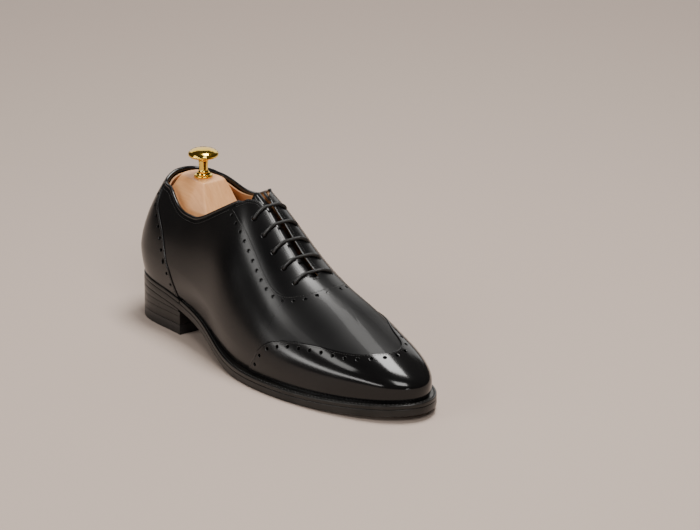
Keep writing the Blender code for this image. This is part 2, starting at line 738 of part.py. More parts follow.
def smooth_route(points, spacing):
    """Evenly spaced points along the smooth curve through the given points."""
    p = np.vstack([2 * points[0] - points[1], points, 2 * points[-1] - points[-2]])
    dense = []
    for k in range(1, len(p) - 2):
        a, b, c, d = p[k - 1], p[k], p[k + 1], p[k + 2]
        for t in np.linspace(0, 1, 12, endpoint=False):
            dense.append(0.5 * (2 * b + (c - a) * t + (2 * a - 5 * b + 4 * c - d) * t ** 2
                                + (3 * b - a - 3 * c + d) * t ** 3))
    dense = np.array(dense + [p[-2]])
    length = np.concatenate([[0], np.cumsum(np.linalg.norm(np.diff(dense, axis=0), axis=1))])
    even = np.linspace(0, length[-1], int(length[-1] / spacing) + 1)
    return np.stack([np.interp(even, length, dense[:, k]) for k in range(3)], 1)


def make_lace():
    route = smooth_route(lace_route(), 2.8)
    tube("lace", route, LACE / 2, LACE_BLACK)
    for name, end, before in (("aglet_front", route[0], route[1]),
                              ("aglet_back", route[-1], route[-2])):
        way = (end - before) / np.linalg.norm(end - before)
        tube(name, [end + way * 0.4, end + way * 8.4], 1.2, LACE_BLACK)


# ---- shoe tree ----------------------------------------------------------------------------

TREE_Y = -5.0              # side offset of the tree's tube
AXIS = np.array([math.cos(TREE_SLOPE), 0.0, -math.sin(TREE_SLOPE)])
AXIS_POINT = np.array([150.0, TREE_Y, 55.0])   # a point on the tube's centre line
SPLIT_OUTER, SPLIT_INNER = 3.0, 9.5
FOREPART_BACK = 152.0
BLOCK_TOP = 112.0
BLOCK_FRONT = 90.0
BLOCK_INSET = -6.4          # the block's sides stand this far inside the shoe's outer face
ROD_BACK = 62.0
KNOB_X = 46.5


def on_axis(x):
    return AXIS_POINT + AXIS * ((x - AXIS_POINT[0]) / AXIS[0])


def last_solid(out, bottom, columns=44):
    """The whole last, drawn in by a function of x, closed underneath."""
    rows = 11
    indices = np.linspace(0, LOOP, columns, endpoint=False)
    points, faces = [], []
    for i in indices:
        v = np.linspace(0.0, 1.93, rows)
        column = offset_surface(np.full(rows, i), v, np.full(rows, float(out(rib_x(i)))))
        column[:, 2] = np.maximum(column[:, 2], bottom(column[:, 0]))
        points.extend(column)
    for c in range(columns):
        d = (c + 1) % columns
        for r in range(rows - 1):
            faces.append((c * rows + r, d * rows + r, d * rows + r + 1, c * rows + r + 1))
    bm = bmesh.new()
    verts = [bm.verts.new(Vector((p - ORIGIN) * MM)) for p in points]
    for face in faces:
        bm.faces.new([verts[k] for k in face])
    for row in (0, rows - 1):
        bridge_cap(bm, [verts[c * rows + row] for c in range(columns)])
    bmesh.ops.recalc_face_normals(bm, faces=bm.faces)
    return bm


def bridge_cap(bm, ring):
    """Closes a ring that is symmetric end to end with a ladder of faces."""
    count = len(ring)
    for k in range(count // 2):
        a, b = ring[k], ring[(k + 1) % count]
        c, d = ring[(count - k - 1) % count], ring[(count - k) % count]
        corners = []
        for vert in (a, b, c, d):
            if vert not in corners:
                corners.append(vert)
        if len(corners) >= 3:
            bm.faces.new(corners)


def slice_off(bm, point, normal):
    """Cuts away what lies beyond a plane and closes the cut."""
    geometry = bm.verts[:] + bm.edges[:] + bm.faces[:]
    plane = Vector((np.asarray(point, float) - ORIGIN) * MM)
    result = bmesh.ops.bisect_plane(bm, geom=geometry, dist=1e-7, plane_co=plane,
                                    plane_no=Vector(normal), clear_outer=True)
    edges = [e for e in result["geom_cut"] if isinstance(e, bmesh.types.BMEdge)]
    bmesh.ops.contextual_create(bm, geom=edges)


def wood(name, bm):
    bmesh.ops.recalc_face_normals(bm, faces=bm.faces)
    mesh = bpy.data.meshes.new(name)
    bm.to_mesh(mesh)
    bm.free()
    return link(name, mesh, BEECH)


def sock_top(x):
    return sole_top(x) + 2 * GAP + INSOLE + SOCK


def cylinder_cutter(name, start, end, radius, sides=12):
    bm = bmesh.new()
    start, end = (np.asarray(start) - ORIGIN) * MM, (np.asarray(end) - ORIGIN) * MM
    bmesh.ops.create_cone(bm, cap_ends=True, segments=sides, radius1=radius * MM,
                          radius2=radius * MM, depth=float(np.linalg.norm(end - start)))
    mesh = bpy.data.meshes.new(name)
    bm.to_mesh(mesh)
    bm.free()
    cutter = link(name, mesh, BEECH, CUTTERS)
    cutter.location = (start + end) / 2
    cutter.rotation_euler = Vector(end - start).to_track_quat("Z", "Y").to_euler()
    cutter.hide_render = True
    cutter.display_type = "WIRE"
    return cutter


def bore(obj, cutter):
    cut = obj.modifiers.new(cutter.name, "BOOLEAN")
    cut.operation = "DIFFERENCE"
    cut.object = cutter


PIN_X = (185, 235)         # x of the two pins that guide the split toe
PIN_Z = 26.0
PIN_HOLE = 2.8


def make_heel_block():
    heel = last_solid(lambda x: BLOCK_INSET, lambda x: sock_top(x) + 4.0)
    slice_off(heel, (0, 0, BLOCK_TOP), (0, 0, 1))
    slice_off(heel, (60, 0, BLOCK_TOP), (0.86, 0, 0.51))
    slice_off(heel, (BLOCK_FRONT, 0, 60), (1, 0, 0))
    block = wood("tree_heel_block", heel)
    bore(block, cylinder_cutter("rod_bore", on_axis(ROD_BACK - 2), on_axis(100), 3.8))


def make_forepart():
    """The two halves of the tree's toe, each bored for the pins that guide them."""
    deep = straight_curve([(200, -12.0), (235, -6.0)])
    for side, split, normal in (("outer", SPLIT_OUTER, 1), ("inner", SPLIT_INNER, -1)):
        toe = last_solid(deep, lambda x: sock_top(x) + 0.6)
        slice_off(toe, (FOREPART_BACK, 0, 0), (-1, 0, 0))
        slice_off(toe, (0, split, 0), (0, normal, 0))
        half = wood(f"tree_forepart_{side}", toe)
        first, last = (-6, 6) if side == "outer" else (2, 24)
        for number, x in enumerate(PIN_X, 1):
            bore(half, cylinder_cutter(f"pin_hole_{side}_{number}", (x, first, PIN_Z),
                                       (x, last, PIN_Z), PIN_HOLE))
        if side == "outer":
            bore(half, cylinder_cutter("tube_bore", on_axis(140), on_axis(207), TUBE / 2 + 0.4))


def make_springs():
    coil("tree_heel_spring", on_axis(150.6), on_axis(201.8), 2.9, 0.45, 9)
    for number, x in enumerate(PIN_X, 1):
        tube(f"tree_pin_{number}", [(x, -5.4, PIN_Z), (x, 16, PIN_Z)], 1.6, STEEL)
        coil(f"tree_toe_spring_{number}", np.array([x, SPLIT_OUTER + 0.5, PIN_Z]),
             np.array([x, SPLIT_INNER - 0.5, PIN_Z]), 3.4, 0.4, 3)


def make_turned_parts():
    """The tube and rod, and the knob on its rosette."""
    wall = TUBE / 2 - 1
    ring = [(0.0, 204.0), (TUBE / 2, 204.0), (TUBE / 2, 112.0), (wall, 112.0), (wall, 202.5),
            (0.0, 202.5)]
    turned_along_axis("tree_tube", ring, STEEL)
    rod = [(0.0, 150.0), (3.4, 150.0), (3.4, ROD_BACK), (0.0, ROD_BACK)]
    turned_along_axis("tree_rod", rod, STEEL)
    knob_profile = [(0.0, 134.2), (4.8, 133.8), (8.5, 132.6), (10.8, 130.6), (KNOB / 2, 129.0),
                    (10.8, 127.6), (8.4, 126.4), (4.2, 125.6), (3.0, 124.4), (2.9, 118.0),
                    (3.6, 116.2), (0.0, 116.2)]
    turned("tree_knob", knob_profile, (KNOB_X, 0.0), BRASS)
    rosette = [(0.0, 115.9), (4.4, 115.9), (5.4, 114.6), (6.9, 113.9), (7.0, 112.9),
               (6.6, BLOCK_TOP + GAP), (0.0, BLOCK_TOP + GAP)]
    turned("tree_rosette", rosette, (KNOB_X, 0.0), BRASS)


def screw_object(name, profile, material, steps=16):
    """A profile of (radius, height) pairs, top to bottom, turned about Z."""
    bm = bmesh.new()
    verts = [bm.verts.new((r * MM, 0, z * MM)) for r, z in profile]
    for a, b in zip(verts, verts[1:]):
        bm.edges.new((a, b))
    mesh = bpy.data.meshes.new(name)
    bm.to_mesh(mesh)
    bm.free()
    obj = link(name, mesh, material)
    screw = obj.modifiers.new("turned", "SCREW")
    screw.steps = screw.render_steps = steps
    screw.use_merge_vertices = True
    screw.merge_threshold = 0.00001
    return obj


def turned(name, profile, place, material):
    obj = screw_object(name, profile, material)
    obj.location = ((place[0] - ORIGIN[0]) * MM, (place[1] - ORIGIN[1]) * MM, 0)
    return obj


def turned_along_axis(name, profile, material):
    """A turned piece on the tree's tube line; heights are x along the shoe."""
    middle = AXIS_POINT[0]
    scaled = [(r, (x - middle) / AXIS[0]) for r, x in profile]
    obj = screw_object(name, scaled, material, steps=12)
    obj.location = (AXIS_POINT - ORIGIN) * MM
    obj.rotation_euler = Vector(AXIS).to_track_quat("Z", "Y").to_euler()
    return obj


def coil(name, start, end, radius, wire, turns):
    start, end = np.asarray(start, float), np.asarray(end, float)
    way = (end - start) / np.linalg.norm(end - start)
    across = np.cross(way, (0, 0, 1.0))
    across /= np.linalg.norm(across)
    upward = np.cross(way, across)
    run = np.linalg.norm(end - start) - 2 * wire
    points = []
    for t in np.linspace(0, 1, turns * 6 + 1):
        angle = 2 * math.pi * turns * t
        points.append(start + way * (wire + run * t)
                      + (across * math.cos(angle) + upward * math.sin(angle)) * radius)
    tube(name, points, wire, STEEL, resolution=0)


make_sole()
facing_panel, lining_panel = make_panels()
cut_eyelets([facing_panel, lining_panel])
make_collar()
make_tongue()
make_lace()
make_heel_block()
make_forepart()
make_springs()
make_turned_parts()
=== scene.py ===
"""The finished black oxford on its wooden tree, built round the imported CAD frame.

Leather panels, linings, sewing and sole edges all follow one last surface, in millimetres, with
x from heel to toe, y to the inner side of the foot and z up; ORIGIN and MM turn it into metres.
"""

import math

import bmesh
import bpy
import numpy as np
from mathutils import Matrix, Vector
from mathutils.geometry import delaunay_2d_cdt
from mathutils.kdtree import KDTree


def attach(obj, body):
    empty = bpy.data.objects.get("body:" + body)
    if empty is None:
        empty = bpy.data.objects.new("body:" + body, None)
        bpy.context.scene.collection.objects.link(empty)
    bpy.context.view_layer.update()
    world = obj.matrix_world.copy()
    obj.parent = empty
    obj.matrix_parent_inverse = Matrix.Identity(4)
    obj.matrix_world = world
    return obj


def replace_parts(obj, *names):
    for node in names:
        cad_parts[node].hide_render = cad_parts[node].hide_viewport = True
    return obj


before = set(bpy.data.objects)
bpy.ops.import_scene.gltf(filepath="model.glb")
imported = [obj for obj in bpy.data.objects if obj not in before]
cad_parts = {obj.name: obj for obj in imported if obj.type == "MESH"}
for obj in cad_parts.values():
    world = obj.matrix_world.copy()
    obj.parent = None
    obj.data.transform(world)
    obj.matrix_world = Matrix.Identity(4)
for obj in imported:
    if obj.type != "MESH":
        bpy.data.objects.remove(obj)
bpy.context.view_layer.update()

MM = 0.001
ORIGIN = np.array([151.16, -2.59, 0.0])      # middle of the whole shoe's box, on the ground

SOLE_EDGE = 8.4            # welt and outsole together at the edge
WELT = 3.0
GAP = 0.3                  # between stacked layers
HEEL_BREAST = 66.0         # x of the heel's front
TOP_PIECE = 7.7            # height of the rubber piece
LIFT_MIDDLE = 14.2         # height where the two lifts meet
INSOLE, SOCK = 2.5, 1.0    # thicknesses below the foot
LACE, EYELET = 2.4, 4.2    # diameters
TREE_SLOPE = math.radians(10)              # of the tree's rod and tube, down to the toe

# Edge of the sole seen from above, round from the back of the heel by the outer side.
OUTLINE = [(-1.5, 0), (0.5, -15.5), (8.5, -28.5), (24, -35.5), (50, -35.8), (78, -36),
           (104, -40.3), (128, -46.6), (152, -51.6), (176, -53.4), (200, -51.9), (223, -47.6),
           (246, -40.8), (268, -31.3), (289.5, -17.5), (302, -2.5), (305, 10), (300.5, 22.5),
           (285.5, 35), (262, 44), (236, 48), (208, 47), (180, 42), (152, 35), (124, 29.5),
           (96, 28.5), (70, 31), (48, 34.5), (26, 33.5), (9.5, 27), (1, 15)]
LOOP = 720                 # points that the edge is divided into


def cubic(low, high, bend_low, bend_high, h, after, before):
    """Between two values h apart, the cubic that has these second derivatives at its ends."""
    return ((bend_low * after ** 3 + bend_high * before ** 3) / (6 * h)
            + (low / h - bend_low * h / 6) * after + (high / h - bend_high * h / 6) * before)


def smooth_curve(table):
    """The natural cubic through (x, value) pairs, as a function of x held level past its ends."""
    xs, ys = np.array(table, float).T
    count = len(xs)
    step = np.diff(xs)
    matrix = np.eye(count)
    right = np.zeros(count)
    for i in range(1, count - 1):
        matrix[i, i - 1:i + 2] = step[i - 1], 2 * (step[i - 1] + step[i]), step[i]
        right[i] = 6 * ((ys[i + 1] - ys[i]) / step[i] - (ys[i] - ys[i - 1]) / step[i - 1])
    bend = np.linalg.solve(matrix, right)

    def value(x):
        x = np.clip(np.asarray(x, float), xs[0], xs[-1])
        i = np.clip(np.searchsorted(xs, x, side="right") - 1, 0, count - 2)
        return cubic(ys[i], ys[i + 1], bend[i], bend[i + 1], step[i], xs[i + 1] - x, x - xs[i])

    return value


def run_along(points):
    """How far along a path each of its points lies."""
    return np.concatenate([[0], np.cumsum(np.linalg.norm(np.diff(points, axis=0), axis=1))])


def read_at(places, run, values):
    """The rows of values at places along their run."""
    return np.stack([np.interp(places, run, column) for column in values.T], 1)


def closed_spline(points, count):
    """Points evenly spaced along the closed cubic through the given points."""
    p = np.array(points, float)
    n = len(p)
    chord = np.sqrt(np.linalg.norm(np.roll(p, -1, 0) - p, axis=1))
    matrix = np.zeros((n, n))
    right = np.zeros((n, 2))
    for i in range(n):
        h0, h1 = chord[i - 1], chord[i]
        matrix[i, i - 1] += h0
        matrix[i, i] += 2 * (h0 + h1)
        matrix[i, (i + 1) % n] += h1
        right[i] = 6 * ((p[(i + 1) % n] - p[i]) / h1 - (p[i] - p[i - 1]) / h0)
    bend = np.linalg.solve(matrix, right)
    pieces = []
    for i in range(n):
        h, j = chord[i], (i + 1) % n
        before = np.linspace(0, h, 60, endpoint=False)[:, None]
        pieces.append(cubic(p[i], p[j], bend[i], bend[j], h, h - before, before))
    dense = np.vstack(pieces + [pieces[0][:1]])
    run = run_along(dense)
    return read_at(np.linspace(0, run[-1], count, endpoint=False), run, dense)


# ---- the last: heights and widths along the foot ----

sole_top = smooth_curve([(0, 35), (20, 34), (45, 31.2), (66, 27.6), (85, 24.2), (105, 20),
                         (125, 14.8), (145, 10.4), (165, 8.6), (190, 8.4), (215, 8.5),
                         (245, 9.4), (275, 11.3), (304, 13.8)])
ridge = smooth_curve([(38, 130), (70, 134), (105, 129), (130, 118), (150, 104), (168, 91),
                      (190, 77.5), (220, 65), (250, 54), (275, 46.5), (304, 36)])
midline = smooth_curve([(40, 0), (70, -1), (105, -2.5), (150, -3), (190, -3), (215, 1),
                        (230, 3)])
power_outer = smooth_curve([(38, 1.5), (105, 1.5), (130, 1.65), (150, 1.65), (180, 1.7),
                            (220, 1.8), (250, 2.05), (275, 2.3), (304, 2.4)])
power_inner = smooth_curve([(38, 1.5), (70, 1.65), (105, 2.0), (130, 2.2), (150, 2.3),
                            (180, 2.3), (220, 2.15), (250, 2.15), (275, 2.3), (304, 2.4)])
bulge_outer = smooth_curve([(0, 2.8), (40, 3.2), (80, 3.5), (120, 2.5), (170, 1.0),
                            (220, 0.6), (304, 1.2)])
bulge_inner = smooth_curve([(0, 2.8), (40, 3.2), (80, 6), (120, 6), (170, 1.5),
                            (220, 0.6), (304, 1.2)])
widest_up = smooth_curve([(0, 20), (40, 22), (90, 23), (130, 20), (170, 14), (220, 10),
                          (304, 9)])
welt_ledge = smooth_curve([(0, 1.6), (80, 1.8), (120, 3.0), (150, 4.6), (304, 5.0)])
NORMAL_TOP = 1.97          # the last v where the surface's normal is read
HEEL_CENTRE = 40.0         # ribs of the last fan out round these two points
TOE_CENTRE = 226.0
FAN_BLEND = 14.0

EDGE = closed_spline(OUTLINE, LOOP)
tangent = np.roll(EDGE, -1, 0) - np.roll(EDGE, 1, 0)
tangent /= np.linalg.norm(tangent, axis=1)[:, None]
OUTWARD = np.stack([tangent[:, 1], -tangent[:, 0]], 1)
TOE = int(np.argmax(EDGE[:, 0]))


def soft_clip(x):
    """x held between the two fan centres, with rounded corners."""
    low = HEEL_CENTRE + FAN_BLEND * np.logaddexp(0, (x - HEEL_CENTRE) / FAN_BLEND)
    return TOE_CENTRE - FAN_BLEND * np.logaddexp(0, (TOE_CENTRE - low) / FAN_BLEND)


def inset_loop(inset):
    """The sole's edge moved in by a distance, or by a function of x."""
    distance = inset(EDGE[:, 0]) if callable(inset) else np.full(LOOP, float(inset))
    return EDGE - OUTWARD * distance[:, None]


FEATHER = inset_loop(welt_ledge)           # where the upper meets the welt
HEEL = int(np.argmin(FEATHER[:, 0]))
OUTER_SIDE = np.arange(LOOP) <= TOE
BULGE = np.where(OUTER_SIDE, bulge_outer(EDGE[:, 0]), bulge_inner(EDGE[:, 0]))
WIDEST = FEATHER + OUTWARD * BULGE[:, None]
CENTRE = np.stack([soft_clip(FEATHER[:, 0]), midline(soft_clip(FEATHER[:, 0]))], 1)
FEATHER_Z = sole_top(FEATHER[:, 0])
WIDEST_Z = FEATHER_Z + widest_up(FEATHER[:, 0])


def last_surface(i, v):
    """A point of the upper's outer face.

    i counts round the sole's edge; v runs from 0 at the welt to 1 at the widest height and to 2
    at the ridge.
    """
    i = np.asarray(i, float)
    v = np.asarray(v, float)
    first = np.floor(i).astype(int) % LOOP
    part = i - np.floor(i)

    def between(values):
        return (values[first].T * (1 - part) + values[(first + 1) % LOOP].T * part).T

    feather, widest, centre = between(FEATHER), between(WIDEST), between(CENTRE)
    z0, z1 = between(FEATHER_Z), between(WIDEST_Z)
    rise = np.clip(v, 0, 1)
    low = feather + (widest - feather) * np.sin(rise * np.pi / 2)[..., None]
    inner = np.clip((feather[..., 1] - centre[..., 1]) / 24 + 0.5, 0, 1)
    turn = np.clip(v - 1, 0, 1) * np.pi / 2

    def power(x):
        return power_outer(x) * (1 - inner) + power_inner(x) * inner

    reach = np.maximum(np.cos(turn), 0) ** (2 / power(centre[..., 0]))
    n = power((centre + (widest - centre) * reach[..., None])[..., 0])
    reach = np.maximum(np.cos(turn), 0) ** (2 / n)
    high = centre + (widest - centre) * reach[..., None]
    z_high = z1 + (ridge(high[..., 0]) - z1) * np.sin(turn) ** (2 / n)
    above = v > 1
    plan = np.where(above[..., None], high, low)
    z = np.where(above, z_high, z0 + (z1 - z0) * rise)
    return np.concatenate([plan, z[..., None]], -1)


def last_normal(i, v):
    """The outward unit normal of the last surface."""
    i, v = np.broadcast_arrays(np.asarray(i, float), np.asarray(v, float))
    di, dv = 1.5, 0.012
    up, level_v = np.minimum(v + dv, NORMAL_TOP), np.minimum(v, NORMAL_TOP)
    along = last_surface(i + di, level_v) - last_surface(i - di, level_v)
    rise = last_surface(i, up) - last_surface(i, up - 2 * dv)
    normal = np.cross(along, rise)
    normal /= np.linalg.norm(normal, axis=-1)[..., None]
    return normal


def offset_surface(i, v, out):
    """The last surface moved out (or in, below zero) along its normal."""
    out = np.asarray(out, float)
    return last_surface(i, v) + last_normal(i, v) * out[..., None]


def side_index(x, side):
    """The place round the edge where the welt line is at x; side is -1 outer, +1 inner."""
    i = np.arange(HEEL, TOE + 1) if side < 0 else np.arange(HEEL + LOOP, TOE - 1, -1)
    return float(np.interp(x, FEATHER[i % LOOP, 0], i))


def rib_x(i):
    """x of the welt line at a rib."""
    return float(np.interp(i % LOOP, np.arange(LOOP + 1), np.append(FEATHER[:, 0], FEATHER[0, 0])))


def crest_point(x, y, out):
    """A point of the last at a place seen from above, near the ridge."""
    side = -1 if y < midline(x) else 1
    i = side_index(x, side)
    centre = float(midline(x))
    half = abs(float(np.interp(i, np.arange(LOOP), WIDEST[:, 1])) - centre)
    n = float(power_outer(x) if side < 0 else power_inner(x))
    reach = min(abs(y - centre) / half, 1.0)
    v = 1 + 2 / math.pi * math.acos(min(reach ** (n / 2), 1.0))
    return offset_surface(i, v, out)


# ---- seams: height v on the last, by x of the welt line ----

topline_outer = smooth_curve([(0, 1.595), (6, 1.565), (14, 1.53), (29, 1.52), (44, 1.46),
                              (58, 1.415), (68, 1.415), (76, 1.425), (86, 1.468), (96, 1.53),
                              (107, 1.615), (112, 1.665), (117, 1.725), (121, 1.79),
                              (124, 1.865), (127.5, 1.925)])
topline_inner = smooth_curve([(0, 1.595), (6, 1.58), (14, 1.576), (29, 1.572), (44, 1.543),
                              (58, 1.495), (68, 1.473), (76, 1.472), (86, 1.49), (96, 1.54),
                              (107, 1.625), (112, 1.68), (117, 1.74), (121, 1.80),
                              (124, 1.875), (127.5, 1.955)])
facing_seam = smooth_curve([(113, 1.655), (122, 1.65), (139, 1.635), (153, 1.612), (167, 1.583),
                            (176, 1.575), (184, 1.585), (193, 1.645), (199, 1.725),
                            (204, 1.83), (208, 2.0)])
THROAT_EDGE = {-1: 1.925, 1: 1.955}        # v of the two edges of the lace opening
wing_outer = smooth_curve([(174, 0.1), (176, 0.5), (179, 0.86), (182, 1.05), (186, 1.13),
                           (192, 1.21), (202, 1.28), (212, 1.33), (225, 1.37), (238, 1.41),
                           (251, 1.435), (266, 1.465), (280, 1.51), (294, 1.57), (302, 1.595)])
wing_inner = smooth_curve([(174, 0.1), (176, 0.5), (179, 0.86), (182, 1.07), (186, 1.16),
                           (192, 1.26), (202, 1.35), (212, 1.41), (225, 1.47), (238, 1.53),
                           (251, 1.59), (262, 1.62), (275, 1.63), (285, 1.60), (294, 1.59),
                           (302, 1.595)])
THROAT_END = 193.0         # front of the lace opening
FACING_BACK = 113.0        # where the facing's seam meets the topline
WING_BACK = 174.0          # where the wing's seam meets the welt
COUNTER_TOP = 14.0         # where the counter's seam meets the topline
COUNTER_FRONT = 62.5       # where it meets the welt
LINING_SEAM = 104.0        # the quarter lining meets the vamp lining here
TOE_END = 304.0            # the welt line's foremost x
EYELET_X = [135.5, 148.5, 161.5, 174.8, 188.5]
EYELET_V = 1.757


def topline(x, side):
    return float(topline_outer(x) if side < 0 else topline_inner(x))


def wing(x, side):
    return float(wing_outer(x) if side < 0 else wing_inner(x))


# ---- meshes ----


def to_row(points):
    return (np.asarray(points, float) - ORIGIN) * MM


def new_object(name, points, faces, look, body="shoe"):
    """A piece from points in millimetres."""
    mesh = bpy.data.meshes.new(name)
    mesh.from_pydata([tuple(p) for p in to_row(points)], [], [tuple(f) for f in faces])
    mesh.validate()
    mesh.update()
    mesh.shade_smooth()
    mesh.materials.append(look.material)
    obj = bpy.data.objects.new(name, mesh)
    bpy.context.scene.collection.objects.link(obj)
    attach(obj, body)
    return obj


def sharpen(obj, degrees):
    """Keeps edges steeper than this crisp."""
    obj.data.set_sharp_from_angle(angle=math.radians(degrees))
    return obj


# ---- moving about on the last ----

LOW = 0.03                 # v at which the panels leave the welt
NEAR_RIDGE = 1.985         # the last v where the surface still has a slope
V_SCALE = 45.0             # makes a step of v about as long as a step of i
RISE_BELOW, RISE_ABOVE = 24, 62            # millimetres to a unit of v, below and above v = 1


def slopes(i, v):
    """How the last surface moves per step of i and of v."""
    v = np.minimum(v, NEAR_RIDGE)
    along = last_surface(i + 0.5, v) - last_surface(i - 0.5, v)
    rise = (last_surface(i, v + 0.005) - last_surface(i, v - 0.005)) / 0.01
    return along, rise


def shift(i, v, vector):
    """The (i, v) reached from (i, v) by a step given in millimetres in the surface."""
    along, rise = slopes(i, v)
    aa, ar, rr = ((p * q).sum(-1) for p, q in ((along, along), (along, rise), (rise, rise)))
    va, vr = (vector * along).sum(-1), (vector * rise).sum(-1)
    det = aa * rr - ar * ar
    return i + (va * rr - vr * ar) / det, v + (vr * aa - va * ar) / det


def beside(path, distance):
    """A path of (i, v) moved sideways over the surface, to the left of its direction."""
    i, v = path.T
    p = last_surface(i, np.minimum(v, NEAR_RIDGE))
    way = np.gradient(p, axis=0)
    left = np.cross(last_normal(i, v), way)
    left /= np.linalg.norm(left, axis=1)[:, None]
    return np.stack(shift(i, v, left * distance), 1)


def even(path, spacing):
    """The path resampled at equal steps in millimetres."""
    run = run_along(last_surface(path[:, 0], path[:, 1]))
    count = max(int(round(run[-1] / spacing)), 2)
    return read_at(np.linspace(0, run[-1], count + 1), run, path)


def with_drop(path, drop):
    """A path with one more column, the same all along it."""
    return np.column_stack([path, np.full(len(path), drop)])


def rounded(points, steps=14):
    """A smooth path through the given points."""
    p = np.vstack([2 * points[0] - points[1], points, 2 * points[-1] - points[-2]])
    dense = []
    for a, b, c, d in zip(p, p[1:], p[2:], p[3:]):
        for t in np.linspace(0, 1, steps, endpoint=False):
            dense.append(0.5 * (2 * b + (c - a) * t + (2 * a - 5 * b + 4 * c - d) * t ** 2
                                + (3 * b - a - 3 * c + d) * t ** 3))
    return np.array(dense + [p[-2]])


def ring_of_points(i, v, radius, count=14):
    """A circle on the surface round (i, v)."""
    along, rise = slopes(np.array([i]), np.array([v]))
    e1 = along[0] / np.linalg.norm(along[0])
    e2 = rise[0] - e1 * (rise[0] @ e1)
    e2 /= np.linalg.norm(e2)
    angle = np.linspace(0, 2 * np.pi, count, endpoint=False)[:, None]
    vector = (np.cos(angle) * e1 + np.sin(angle) * e2) * radius
    return np.stack(shift(np.full(count, i), np.full(count, v), vector), 1)


def inside(points, loops):
    """Which of the points lie inside an odd number of the loops."""
    hit = np.zeros(len(points), bool)
    x, y = points[:, 0][:, None], points[:, 1][:, None]
    for loop in loops:
        a, b = loop, np.roll(loop, -1, 0)
        crosses = (a[:, 1] > y) != (b[:, 1] > y)
        slope = np.where(b[:, 1] == a[:, 1], 1, b[:, 1] - a[:, 1])
        at = a[:, 0] + (y - a[:, 1]) / slope * (b[:, 0] - a[:, 0])
        hit ^= (np.count_nonzero(crosses & (x < at), axis=1) % 2).astype(bool)
    return hit


def filling(spacing):
    """Points spread evenly over the whole last."""
    low = np.arange(LOW, 1.0, spacing / RISE_BELOW)
    high = np.arange(1.0, 1.99, spacing / RISE_ABOVE)
    found = []
    i = np.arange(-220, 940, 1.0)              # past the heel both ways, as the counter's is
    for row, v in enumerate(np.concatenate([low, high])):
        run = run_along(last_surface(i, np.full(len(i), v)))
        at = np.arange((row % 2) * spacing / 2, run[-1], spacing)
        found.append(with_drop(np.interp(at, run, i), v))
    return np.vstack(found)


TUCK = 1.35                # how far the part of a panel below its neighbour is let down
HOLE_EDGE = 0.34           # how far a hole's cut edge lies below the face
HOLE_RIM = 0.42            # width of the slope round a hole
SPACING = 2.2              # between the points of a panel
CLEARANCE = 0.45           # of the spacing, kept between the spread points and the lines
ON_RIDGE = 1.995           # above this v the points of the two sides are the same


def panel(name, node, loops, chains, holes, out, look, spacing=SPACING, tucks=()):
    """A leather panel: closed loops of (i, v, drop), inner chains of the same, and holes.

    drop is how far a point lies below the panel's face, for rounded and tucked edges;
    tucks are outlines of the parts that run on below a neighbour.
    """
    lines = [(loop, True, True) for loop in loops]         # points, whether closed, whether a border
    for i, v, radius in holes:
        lines.append((with_drop(ring_of_points(i, v, radius), HOLE_EDGE), True, True))
        lines.append((with_drop(ring_of_points(i, v, radius + HOLE_RIM), 0), True, False))
    lines += [(chain, False, False) for chain in chains]
    coords, edges, drops = [], [], []
    for points, is_closed, _ in lines:
        start = len(coords)
        coords += [(p[0], p[1] * V_SCALE) for p in points]
        drops += [p[2] for p in points]
        count = len(points)
        edges += [(start + k, start + k + 1) for k in range(count - 1)]
        if is_closed:
            edges.append((start + count - 1, start))
    borders = [points[:, :2] * (1, V_SCALE) for points, _, is_border in lines if is_border]
    flat = np.array(coords)
    solid = last_surface(flat[:, 0], flat[:, 1] / V_SCALE)
    tree = KDTree(len(solid))
    for k, p in enumerate(solid):
        tree.insert(p, k)
    tree.balance()
    spread = filling(spacing)
    spread = spread[inside(spread * (1, V_SCALE), borders)]
    places = last_surface(spread[:, 0], spread[:, 1])
    below = np.zeros(len(spread), bool)
    for outline in tucks:
        below |= inside(spread * (1, V_SCALE), [outline * (1, V_SCALE)])
    for (i, v), p, low in zip(spread, places, below):
        if tree.find(p)[2] > spacing * CLEARANCE:
            coords.append((i, v * V_SCALE))
            drops.append(TUCK if low else 0.0)
    result = delaunay_2d_cdt([Vector(c) for c in coords], edges, [], 0, 1e-5)
    flat = np.array([tuple(c) for c in result[0]])
    faces = np.array([f for f in result[2] if len(f) == 3])
    centre = flat[faces].mean(1)
    faces = faces[inside(centre, borders)]
    drop = np.array([min((drops[o] for o in origin), default=0.0) for origin in result[3]])
    i, v = flat[:, 0], np.clip(flat[:, 1] / V_SCALE, 0, 2)
    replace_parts(thicken(name, i, v, drop, faces, out, look), node)


